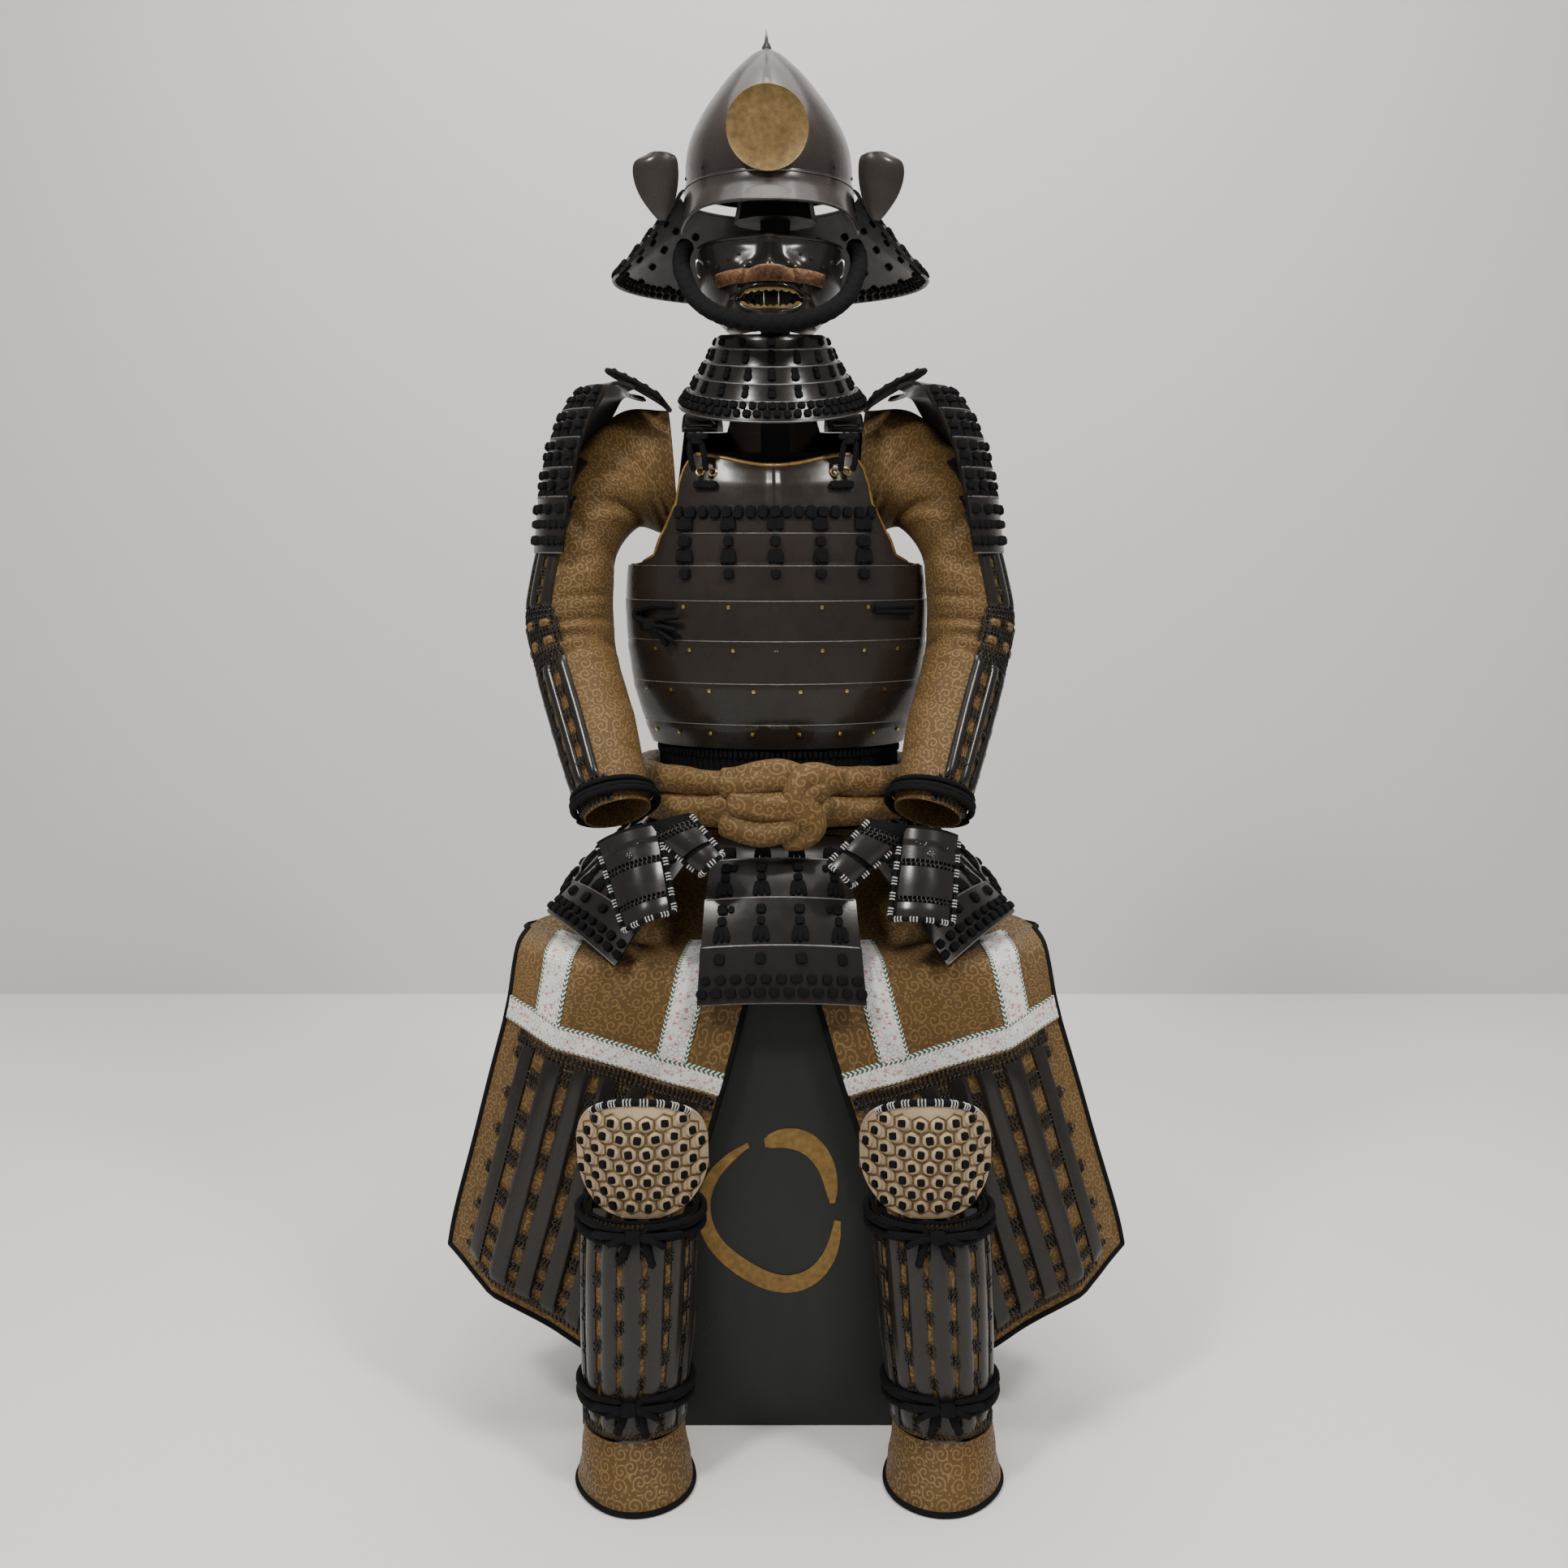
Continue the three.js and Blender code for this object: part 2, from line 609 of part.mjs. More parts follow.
// Tassets: hanging plates of four lames. Each is drawn from its four corners, and bows outwards.
const TASSETS = {
  front: {
    top: [[-72, -112, 674], [72, -112, 674]],
    middle: [[-82, -188, 612], [82, -188, 612]],
    bottom: [[-92, -227, 508], [92, -227, 508]],
    bow: 10,
  },
  front_side: {
    top: [[80, -108, 672], [140, -46, 672]],
    middle: [[128, -168, 622], [205, -82, 638]],
    bottom: [[180, -219, 550], [268, -108, 586]],
    bow: 12,
  },
  side: {
    top: [[146, -34, 672], [138, 54, 672]],
    middle: [[206, -58, 642], [192, 66, 640]],
    bottom: [[256, -74, 592], [240, 78, 590]],
    bow: 10,
  },
  back: {
    top: [[130, 64, 672], [14, 110, 672]],
    middle: [[174, 92, 636], [10, 146, 634]],
    bottom: [[206, 122, 574], [6, 180, 572]],
    bow: 8,
  },
};
const TASSET_LAMES = 4;

function tassetGeometry(tasset) {
  const steps = lameSteps(TASSET_LAMES, 0.006);
  const [top, middle, bottom] = ['top', 'middle', 'bottom'].map((level) => (
    tasset[level].map((point) => vector(...point))
  ));
  // Each side edge is a curve that passes through the middle corner half way down.
  const edges = [0, 1].map((side) => {
    const ends = top[side].clone().add(bottom[side]).multiplyScalar(0.5);
    const control = middle[side].clone().multiplyScalar(2).sub(ends);
    return new THREE.QuadraticBezierCurve3(top[side], control, bottom[side]);
  });
  const flat = new Surface([top, bottom]);
  const outward = flat.normal(0, 0);
  const rows = steps.map(({ t }) => {
    const [from, to] = edges.map((edge) => edge.getPoint(t));
    return spread(0, 1, 7).map((q) => (
      from.clone().lerp(to, q).addScaledVector(outward, tasset.bow * 4 * q * (1 - q))
    ));
  });
  return lameWall(new Surface(rows), steps);
}

function addTassets() {
  addWorn('tasset_front', tassetGeometry(TASSETS.front), 'lacquer');
  for (const name of ['front_side', 'side', 'back']) {
    addPair(`tasset_${name}`, tassetGeometry(TASSETS[name]), 'lacquer');
  }
}

// ---------------------------------------------------------------------------------------------
// Arms: cloth sleeve, splinted mail, wrist cord, hand guard, shoulder guard and wing

// One row per ring of the left sleeve. outer turns the ring's first point from up (90) to outward (0).
const SLEEVE_RINGS = [
  { x: 112, y: 2, z: 1090, across: 71, through: 55, outer: 90 },
  { x: 150, y: -2, z: 1088, across: 73, through: 56, outer: 80 },
  { x: 192, y: -15, z: 1062, across: 54, through: 55, outer: 50 },
  { x: 217, y: -33, z: 1010, across: 43, through: 50, outer: 16 },
  { x: 227, y: -42, z: 960, across: 46, through: 52, outer: 4 },
  { x: 231, y: -44, z: 915, across: 49, through: 53, outer: 0 },
  { x: 222, y: -62, z: 866, across: 46, through: 49, outer: 0 },
  { x: 202, y: -98, z: 806, across: 46, through: 44, outer: 0 },
  { x: 184, y: -137, z: 748, across: 42, through: 38, outer: 0 },
  { x: 172, y: -162, z: 710, across: 38, through: 33, outer: 0 },
];
const SLEEVE_COLUMNS = 12;
const SLEEVE_MAIL = { rows: [2, 9], columns: [8, 16] };
const WRIST_CORD = { row: 9, up: 12, clearance: 2.6, radius: 5.5 };

function ringAxes(rings, i) {
  const place = (row) => vector(row.x, row.y, row.z);
  const before = place(rings[Math.max(i - 1, 0)]);
  const after = place(rings[Math.min(i + 1, rings.length - 1)]);
  const along = after.sub(before).normalize();
  const turn = radians(rings[i].outer);
  const outward = vector(Math.cos(turn), 0, Math.sin(turn));
  outward.addScaledVector(along, -outward.dot(along)).normalize();
  return { along, outward, back: outward.clone().cross(along) };
}

function sleeveSurface() {
  const rows = SLEEVE_RINGS.map((ring, i) => {
    const { outward, back } = ringAxes(SLEEVE_RINGS, i);
    return Array.from({ length: SLEEVE_COLUMNS }, (_, j) => {
      const angle = (2 * Math.PI * j) / SLEEVE_COLUMNS;
      return vector(ring.x, ring.y, ring.z)
        .addScaledVector(outward, ring.across * Math.cos(angle))
        .addScaledVector(back, ring.through * Math.sin(angle));
    });
  });
  return new Surface(rows, true);
}

function addSleeves() {
  const surface = sleeveSurface();
  addPair('sleeve', surface.wall(-CLOTH, 0), 'damask', ARM_SHIFT);
  const mail = surface.wall(GAP, GAP + MAIL, SLEEVE_MAIL.rows, SLEEVE_MAIL.columns);
  addPair('sleeve_mail', mail, 'mail', ARM_SHIFT);
}

function addWristCords() {
  const ring = SLEEVE_RINGS[WRIST_CORD.row];
  const { along, outward, back } = ringAxes(SLEEVE_RINGS, WRIST_CORD.row);
  const clear = MAIL + GAP + WRIST_CORD.clearance + WRIST_CORD.radius;
  const sections = spread(0, 337.5, 16).map((degrees) => {
    const angle = radians(degrees);
    const radial = outward.clone().multiplyScalar(Math.cos(angle));
    radial.addScaledVector(back, Math.sin(angle));
    return Array.from({ length: 8 }, (_, k) => {
      const turn = (2 * Math.PI * k) / 8;
      const out = WRIST_CORD.radius * Math.cos(turn) + clear;
      return vector(ring.x, ring.y, ring.z)
        .addScaledVector(along, -WRIST_CORD.up - WRIST_CORD.radius * Math.sin(turn))
        .addScaledVector(outward, ring.across * Math.cos(angle))
        .addScaledVector(back, ring.through * Math.sin(angle))
        .addScaledVector(radial, out);
    });
  });
  addPair('wrist_cord', ringSolid(sections), 'cord', ARM_SHIFT);
}

// Hand guards: a plate over the back of the hand and one over the thumb, from their corners.
const HAND_GUARDS = {
  left: {
    back: [[133, -197, 702], [196, -190, 690], [116, -238, 606], [185, -236, 600]],
    thumb: [[101, -205, 712], [150, -198, 700], [52, -226, 664], [76, -228, 640]],
  },
  right: {
    back: [[130, -197, 706], [200, -190, 682], [112, -238, 614], [168, -236, 592]],
    thumb: [[98, -205, 718], [150, -198, 702], [60, -226, 674], [84, -228, 652]],
  },
};
const HAND_BULGE = 14;
const THUMB_BULGE = 9;

function cornerPlate(corners, bulge, rowCount, columnCount) {
  const [topInner, topOuter, bottomInner, bottomOuter] = corners.map((point) => vector(...point));
  const outward = new Surface([[topInner, topOuter], [bottomInner, bottomOuter]]).normal(0, 0);
  const rows = spread(0, 1, rowCount).map((t) => {
    const from = topInner.clone().lerp(bottomInner, t);
    const to = topOuter.clone().lerp(bottomOuter, t);
    return spread(0, 1, columnCount).map((q) => (
      from.clone().lerp(to, q).addScaledVector(outward, bulge * 4 * q * (1 - q))
    ));
  });
  return new Surface(rows).wall(0, PLATE);
}

function addHandGuards() {
  for (const [side, plates] of Object.entries(HAND_GUARDS)) {
    const back = cornerPlate(plates.back, HAND_BULGE, 5, 7);
    const whole = joined(back, cornerPlate(plates.thumb, THUMB_BULGE, 4, 5));
    const placed = side === 'right' ? mirrored(whole) : whole;
    addWorn(`hand_guard_${side}`, placed, 'lacquer');
  }
}

// One row per edge of the shoulder guard's lames: how far out it hangs, and its height.
const SHOULDER_GUARD_ROWS = [
  { x: 158, z: 1175, wrap: 0.3 },
  { x: 182, z: 1181, wrap: 0.5 },
  { x: 206, z: 1178, wrap: 0.8 },
  { x: 225, z: 1161, wrap: 1 },
  { x: 238, z: 1138, wrap: 1 },
  { x: 249, z: 1110, wrap: 1 },
  { x: 256, z: 1082, wrap: 1 },
  { x: 262, z: 1053, wrap: 1 },
  { x: 267, z: 1025, wrap: 1 },
  { x: 271, z: 997, wrap: 1 },
];
const SHOULDER_GUARD = { radius: 95, halfAngle: 56, y: -26 };

function addShoulderGuards() {
  const angles = spread(-SHOULDER_GUARD.halfAngle, SHOULDER_GUARD.halfAngle, 7);
  const rows = SHOULDER_GUARD_ROWS.map((row) => angles.map((angle) => vector(
    row.x - row.wrap * SHOULDER_GUARD.radius * (1 - Math.cos(radians(angle))),
    SHOULDER_GUARD.y + SHOULDER_GUARD.radius * Math.sin(radians(angle)),
    row.z,
  )));
  addPair('shoulder_guard', new Surface(rows).wall(0, PLATE), 'lacquer', ARM_SHIFT);
}

const WING = { inner: 120, outer: 186, innerZ: 1166, outerZ: 1204, halfLength: 76, thickness: 4 };

function addWings() {
  const rows = spread(0, 0.97, 6).map((t) => {
    const half = WING.halfLength * Math.sqrt(1 - t * t);
    return spread(-half, half, 7).map((y) => vector(
      lerp(WING.inner, WING.outer, t),
      y,
      lerp(WING.innerZ, WING.outerZ, t ** 0.8),
    ));
  });
  addPair('shoulder_wing', new Surface(rows).wall(0, WING.thickness), 'leather', ARM_SHIFT);
}

// ---------------------------------------------------------------------------------------------
// Thigh apron, one panel a side

// The panel starts round the waist, inside the tassets.
const APRON_WAIST = [
  { z: 678, halfWidth: 134, halfDepth: 98 },
  { z: 620, halfWidth: 140, halfDepth: 106 },
];
const APRON_WAIST_ANGLES = { from: 6, to: 84 };

// One row per level below it: the inner and outer edge. The lower levels hang at a slant.
const APRON_ROWS = [
  { inner: [18, -114, 556], outer: [290, -30, 561] },
  { inner: [22, -150, 551], outer: [297, -78, 560] },
  { inner: [27, -196, 548], outer: [302, -114, 552] },
  { inner: [32, -206, 532], outer: [305, -134, 532] },
  { inner: [62, -210, 425], outer: [308, -152, 501] },
  { inner: [70, -210, 399], outer: [314, -153, 475] },
  { inner: [72, -210, 393], outer: [315.5, -153, 469] },
  { inner: [98, -210, 308], outer: [335, -155, 402] },
  { inner: [124, -210, 222], outer: [354, -157, 334] },
  { inner: [150, -210, 137], outer: [374, -158, 266] },
  { inner: [163, -210, 95], outer: [383, -158, 232] },
  { inner: [170, -210, 72], outer: [388, -158, 207] },
];
const APRON_COLUMNS = [0, 0.05, 0.18, 0.315, 0.46, 0.6, 0.74, 0.865, 0.9, 1];
const APRON_TURN = 0.74;
const APRON_WAVE = { depth: 7, count: 2 };
const APRON_BAND_ROWS = [6, 7];
const APRON_MAIL = { rows: [8, 12], columns: [1, 8] };
const APRON_TOP_ROW = 2;
const APRON_UPRIGHT_BANDS = [[2, 3], [6, 7]];
const BAND = 1.2;

function apronSurface() {
  const waist = APRON_WAIST.map((row) => APRON_COLUMNS.map((q) => {
    const angle = lerp(APRON_WAIST_ANGLES.from, APRON_WAIST_ANGLES.to, q);
    return around(0, row.halfWidth, row.halfDepth, angle, row.z);
  }));
  const rows = APRON_ROWS.map((row, i) => {
    const inner = vector(...row.inner);
    const outer = vector(...row.outer);
    const hang = THREE.MathUtils.clamp((i - 3) / 4, 0, 1);
    return APRON_COLUMNS.map((q) => {
      const point = inner.clone().lerp(outer, q);
      point.y = lerp(inner.y, outer.y, Math.max(0, (q - APRON_TURN) / (1 - APRON_TURN)));
      const wave = Math.sin(Math.PI * q) * (1 - Math.cos(2 * Math.PI * APRON_WAVE.count * q)) / 2;
      point.y -= APRON_WAVE.depth * wave * hang;
      return point;
    });
  });
  return new Surface([...waist, ...rows]);
}

function addApron() {
  const surface = apronSurface();
  addPair('apron_panel', surface.wall(-CLOTH, 0), 'damask');
  addPair('apron_mail', surface.wall(GAP, GAP + MAIL, APRON_MAIL.rows, APRON_MAIL.columns), 'mail');
  const uprightRows = [APRON_TOP_ROW, APRON_BAND_ROWS[1]];
  const bands = [
    surface.wall(GAP, GAP + BAND, APRON_BAND_ROWS),
    ...APRON_UPRIGHT_BANDS.map((columns) => surface.wall(GAP, GAP + BAND, uprightRows, columns)),
  ];
  addPair('apron_bands', joined(...bands), 'whiteBand');
}

// ---------------------------------------------------------------------------------------------
// Legs: knee cap, shin guard, ties and foot cover

const SHIN_ROWS = [
  { z: 308, x: 154, halfWidth: 61, halfDepth: 60 },
  { z: 240, x: 158, halfWidth: 61, halfDepth: 62 },
  { z: 170, x: 161, halfWidth: 59, halfDepth: 60 },
  { z: 110, x: 165, halfWidth: 55, halfDepth: 56 },
  { z: 64, x: 167, halfWidth: 53, halfDepth: 54 },
];
const SHIN = { halfAngle: 112 };
const KNEE = { x: 150, front: -352, z: 372, halfWidth: 69, halfHeight: 62, thickness: 5 };
// The knee cap's outline is a rounded square of this power, and it curves back at its sides and ends.
const KNEE_CURVE = { power: 2.6, sideDrop: 58, endDrop: 12 };
const SHIN_TIES = { upper: 296, lower: 104 };
const TIE = { radius: 4.5, clearance: 1.2, halfAngle: 172, pitch: 12, back: 40 };

const FOOT_ROWS = [
  { z: 63, x: 168, y: -284, halfWidth: 54, halfDepth: 58 },
  { z: 40, x: 168, y: -290, halfWidth: 57, halfDepth: 70 },
  { z: 18, x: 167, y: -296, halfWidth: 60, halfDepth: 79 },
  { z: 0, x: 166, y: -298, halfWidth: 64, halfDepth: 82 },
];

function shinPoint(z, degrees, out = 0) {
  const row = readTable(SHIN_ROWS, 'z', z);
  const point = around(LEG.y, row.halfWidth + out, row.halfDepth + out, degrees, z);
  point.x += row.x;
  return point;
}

function addShinGuards() {
  const angles = spread(-SHIN.halfAngle, SHIN.halfAngle, 11);
  const rows = SHIN_ROWS.map((row) => angles.map((angle) => shinPoint(row.z, angle)));
  addPair('shin_guard', new Surface(rows).wall(-PLATE, 0), 'mail');
}

function addKneeCaps() {
  const rows = spread(-0.97, 0.97, 7).map((v) => {
    const half = KNEE.halfWidth * (1 - Math.abs(v) ** KNEE_CURVE.power) ** (1 / KNEE_CURVE.power);
    return spread(-1, 1, 7).map((q) => {
      const x = half * q;
      const y = KNEE.front + KNEE_CURVE.sideDrop * (x / KNEE.halfWidth) ** 2 + KNEE_CURVE.endDrop * v * v;
      return vector(KNEE.x + x, y, KNEE.z - KNEE.halfHeight * v);
    });
  });
  addPair('knee_cap', new Surface(rows).wall(-KNEE.thickness, 0), 'leather');
}

// A cord once round the shin, from one hanging end in front to the other.
function shinTie(z) {
  const out = TIE.radius + TIE.clearance;
  const start = shinPoint(z - 30, 14, out + 4);
  const end = shinPoint(z - 34, -16, out + 4);
  const turns = spread(-TIE.halfAngle, TIE.halfAngle, 15).map((angle) => {
    const point = shinPoint(z + (TIE.pitch * angle) / (2 * TIE.halfAngle), angle + 180, out);
    point.y = Math.min(point.y, LEG.y + TIE.back);
    return point;
  });
  return cordAlong([start, ...turns, end], TIE.radius, 30);
}

function addShinTies() {
  for (const [place, z] of Object.entries(SHIN_TIES)) {
    addPair(`shin_tie_${place}`, shinTie(z), 'cord');
  }
}

function addFootCovers() {
  const rows = FOOT_ROWS.map((row) => spread(0, 337.5, 16).map((angle) => {
    const point = around(row.y, row.halfWidth, row.halfDepth, angle, row.z);
    point.x += row.x;
    return point;
  }));
  const surface = new Surface(rows, true);
  const geometry = surface.wall(-CLOTH, 0);
  const position = geometry.attributes.position;
  for (let k = 0; k < position.count; k += 1) {
    if (position.getZ(k) < 3) {
      position.setZ(k, 0);
    }
  }
  addPair('foot_cover', geometry, 'damask');
}

// A thick doubled cord from the helmet's sides, under the chin of the mask.
const CHIN_CORD = [
  [-95, -40, 1341],
  [-99, -58, 1326],
  [-97, -85, 1305],
  [-82, -115, 1272],
  [-50, -143, 1249],
  [0, -156, 1240],
  [50, -143, 1249],
  [82, -115, 1272],
  [97, -85, 1305],
  [99, -58, 1326],
  [95, -40, 1341],
];
const CHIN_CORD_RADIUS = 10;

addBox();
addStand();
addHelmetBowl();
addWorn('helmet_visor', visorSurface().wall(0, PLATE), 'lacquer');
addNeckGuard();
addEars();
addDisc();
addMask();
addThroatGuard();
addWorn('chin_cord', cordAlong(CHIN_CORD.map((point) => vector(...point)), CHIN_CORD_RADIUS, 24), 'cord');
addCuirass();
addCuirassCords();
addWaistLacing();
addSash();
addTassets();
addSleeves();
addWristCords();
addHandGuards();
addShoulderGuards();
addWings();
addApron();
addShinGuards();
addKneeCaps();
addShinTies();
addFootCovers();

export default armour;
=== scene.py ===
"""The looks of a samurai armour seated on its storage box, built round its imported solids."""
import math
import bpy
import numpy as np
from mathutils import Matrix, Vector


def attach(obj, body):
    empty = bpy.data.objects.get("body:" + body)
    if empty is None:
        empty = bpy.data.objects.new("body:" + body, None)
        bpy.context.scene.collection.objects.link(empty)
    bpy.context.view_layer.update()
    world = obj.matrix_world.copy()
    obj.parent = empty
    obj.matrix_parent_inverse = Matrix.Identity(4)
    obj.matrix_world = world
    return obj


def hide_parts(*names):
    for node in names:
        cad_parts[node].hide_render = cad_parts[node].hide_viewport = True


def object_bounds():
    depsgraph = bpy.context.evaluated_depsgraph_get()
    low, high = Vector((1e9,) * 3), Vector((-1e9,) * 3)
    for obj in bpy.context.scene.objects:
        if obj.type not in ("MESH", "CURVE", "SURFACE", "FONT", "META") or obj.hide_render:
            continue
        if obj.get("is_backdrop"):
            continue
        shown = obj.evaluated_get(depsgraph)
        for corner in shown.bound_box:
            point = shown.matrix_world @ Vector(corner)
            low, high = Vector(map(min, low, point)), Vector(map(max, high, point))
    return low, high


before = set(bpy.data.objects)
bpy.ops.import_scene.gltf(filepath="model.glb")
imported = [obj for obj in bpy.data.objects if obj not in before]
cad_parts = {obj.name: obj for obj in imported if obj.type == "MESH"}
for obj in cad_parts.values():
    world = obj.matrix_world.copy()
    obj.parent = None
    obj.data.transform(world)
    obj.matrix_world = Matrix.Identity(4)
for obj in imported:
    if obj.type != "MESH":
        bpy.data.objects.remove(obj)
cad_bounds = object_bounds()
rng = np.random.default_rng(11)

# ------------------------------------------------------------------ camera

cam = bpy.data.objects.new("camera", bpy.data.cameras.new("camera"))
cam.data.lens, cam.data.sensor_width = 38.8, 36.0
cam.data.clip_end = 50
cam.location = (0.010, -2.017, 1.0)
cam.rotation_euler = (math.radians(90 - 7.9), 0, 0)
bpy.context.scene.collection.objects.link(cam)
bpy.context.scene.camera = cam

# ------------------------------------------------------------------ shape tools (millimetres)


def unit(a):
    return a / np.maximum(np.linalg.norm(a, axis=-1, keepdims=True), 1e-9)


def lerp(a, b, t):
    return a + (b - a) * t


def smooth(x, lo, hi):
    t = np.clip((x - lo) / (hi - lo), 0, 1)
    return t * t * (3 - 2 * t)


def bell(x, centre, width):
    return np.exp(-(((x - centre) / width) ** 2))


def around(cy, hw, hd, degrees, z):
    a = np.radians(degrees)
    return np.stack(np.broadcast_arrays(hw * np.sin(a), cy - hd * np.cos(a), z), -1).astype(float)


def column(table, key, x):
    """One column of a table, read along straight lines at x of its first column."""
    t = sorted(table, key=lambda r: r[0])
    return np.interp(x, [r[0] for r in t], [r[key] for r in t])


class Sheet:
    """A smooth surface through rows of points. Places on it are in row and column numbers."""

    def __init__(self, rows, closed=False):
        p = np.array(rows, float)
        self.rows, self.cols, self.closed = p.shape[0], p.shape[1], closed
        p = np.concatenate([2 * p[:1] - p[1:2], p, 2 * p[-1:] - p[-2:-1]], 0)
        if not closed:
            p = np.concatenate([2 * p[:, :1] - p[:, 1:2], p, 2 * p[:, -1:] - p[:, -2:-1]], 1)
        self.p = p
        self.push = None

    def at(self, s, t):
        s, t = np.broadcast_arrays(np.asarray(s, float), np.asarray(t, float))
        x = np.clip(s, 0, self.rows - 1)
        i = np.minimum(x.astype(int), self.rows - 2)
        if self.closed:
            y = np.mod(t, self.cols)
            j = np.minimum(y.astype(int), self.cols - 1)
        else:
            y = np.clip(t, 0, self.cols - 1)
            j = np.minimum(y.astype(int), self.cols - 2)
        out = 0
        for a, wa in enumerate(self._weights(x - i)):
            for b, wb in enumerate(self._weights(y - j)):
                k = (j + b - 1) % self.cols if self.closed else j + b
                out = out + (wa * wb)[..., None] * self.p[i + a, k]
        return out

    @staticmethod
    def _weights(f):
        return (
            -0.5 * f**3 + f**2 - 0.5 * f,
            1.5 * f**3 - 2.5 * f**2 + 1,
            -1.5 * f**3 + 2 * f**2 + 0.5 * f,
            0.5 * f**3 - 0.5 * f**2,
        )

    def sides(self, s, t):
        """Unit vectors down and right, the normal, and the millimetres per row and per column."""
        e = 0.04
        s, t = np.broadcast_arrays(np.asarray(s, float), np.asarray(t, float))
        s0, s1 = np.clip(s - e, 0, self.rows - 1), np.clip(s + e, 0, self.rows - 1)
        t0, t1 = t - e, t + e
        if not self.closed:
            t0, t1 = np.clip(t0, 0, self.cols - 1), np.clip(t1, 0, self.cols - 1)
        down = self.at(s1, t) - self.at(s0, t)
        right = self.at(s, t1) - self.at(s, t0)
        per_row = np.linalg.norm(down, axis=-1) / (s1 - s0)
        per_col = np.linalg.norm(right, axis=-1) / (t1 - t0)
        normal = unit(np.cross(down, right))
        return unit(down), unit(right), normal, per_row, per_col

    def place(self, s, t, h=0.0):
        n = self.sides(s, t)[2]
        out = self.at(s, t)
        if self.push is not None:
            out = out + n * np.asarray(self.push(s, t), float)[..., None]
        return out + n * np.asarray(np.broadcast_to(h, out.shape[:-1]), float)[..., None]

    def axes(self, s, t, h=0.0):
        """Where to set small things down on the surface: place, right, down, normal."""
        down, right, normal, _, _ = self.sides(s, t)
        return self.place(s, t, h), right, np.cross(right, normal), normal


def lattice(n, m):
    """The faces of a grid of (n + 1) x (m + 1) points, which face along down x right."""
    i, j = np.meshgrid(np.arange(n), np.arange(m), indexing="ij")
    a = i * (m + 1) + j
    return np.stack([a, a + m + 1, a + m + 2, a + 1], -1).reshape(-1, 4)


def measure(points):
    """Lengths down and across a grid of points, for cloth patterns that don't stretch."""
    n, m = points.shape[:2]
    across = np.linalg.norm(np.diff(points[n // 2], axis=0), axis=-1)
    down = np.linalg.norm(np.diff(points[:, m // 2], axis=0), axis=-1)
    u = np.concatenate([[0], np.cumsum(across)])
    v = np.concatenate([[0], np.cumsum(down)])
    return np.stack(np.broadcast_arrays(u[None, :], -v[:, None]), -1).reshape(-1, 2)


def closed_grid(outer, inner):
    """A solid between two grids of points."""
    n, m = outer.shape[0] - 1, outer.shape[1] - 1
    size = (n + 1) * (m + 1)
    front = lattice(n, m)
    back = front[:, ::-1] + size
    top, bottom = np.arange(m + 1), n * (m + 1) + np.arange(m + 1)
    left, right = np.arange(n + 1) * (m + 1), np.arange(n + 1) * (m + 1) + m
    rims = []
    for edge, flip in ((top, True), (bottom, False), (left, False), (right, True)):
        quad = np.stack([edge[:-1], edge[1:], edge[1:] + size, edge[:-1] + size], -1)
        rims.append(quad[:, ::-1] if not flip else quad)
    faces = np.concatenate([front, back] + [r[:, ::-1] for r in rims])
    verts = np.concatenate([outer.reshape(-1, 3), inner.reshape(-1, 3)])
    uv = measure(outer)
    return verts, faces, np.concatenate([uv, uv])


def shell(sheet, s, t, n, m, thick=(0.0, 2.0), height=None):
    """The sheet between rows s and columns t as a thin solid. height adds to its outer side."""
    ss, tt = np.meshgrid(np.linspace(*s, n + 1), np.linspace(*t, m + 1), indexing="ij")
    extra = 0 if height is None else height(ss, tt)
    return closed_grid(sheet.place(ss, tt, thick[1] + extra), sheet.place(ss, tt, thick[0]))


def bar(sheet, s, at, half, n, m, low, high, profile="round"):
    """A strip that runs down the sheet. at gives its column and half its half width in mm at s."""
    ss = np.linspace(*s, n + 1)
    centre = np.broadcast_to(at(ss) if callable(at) else at, ss.shape)
    wide = np.broadcast_to(half(ss) if callable(half) else half, ss.shape)
    per_col = sheet.sides(ss, centre)[4]
    q = np.linspace(-1, 1, m + 1)
    tt = centre[:, None] + q[None, :] * (wide / per_col)[:, None]
    sg = np.broadcast_to(ss[:, None], tt.shape)
    shape = np.sqrt(np.clip(1 - q**2 * 0.94, 0, 1)) if profile == "round" else 1 - 0.5 * np.abs(q) ** 6
    end = np.minimum(1, np.minimum(ss - s[0], s[1] - ss) / max((s[1] - s[0]) * 0.05, 1e-6)) ** 0.5
    up = lerp(low, high, (0.35 + 0.65 * end)[:, None] * shape[None, :])
    return closed_grid(sheet.place(sg, tt, up), sheet.place(sg, tt, low - 0.6))


def stamp(shape, place, size=(1, 1, 1), spin=None):
    """Many copies of a small shape, set down at places with axes right, down, normal."""
    verts, faces = shape
    origin, right, down, normal = (np.asarray(a, float).reshape(-1, 3) for a in place)
    count = len(origin)
    size = np.broadcast_to(np.asarray(size, float), (count, 3))
    if spin is not None:
        c, w = np.cos(spin)[:, None], np.sin(spin)[:, None]
        right, down = right * c + down * w, down * c - right * w
    v = verts[None] * size[:, None]
    out = origin[:, None] + v[..., :1] * right[:, None] + v[..., 1:2] * down[:, None] + v[..., 2:] * normal[:,
        None]
    f = faces[None] + (np.arange(count) * len(verts))[:, None, None]
    return out.reshape(-1, 3), f.reshape(-1, faces.shape[1]), None


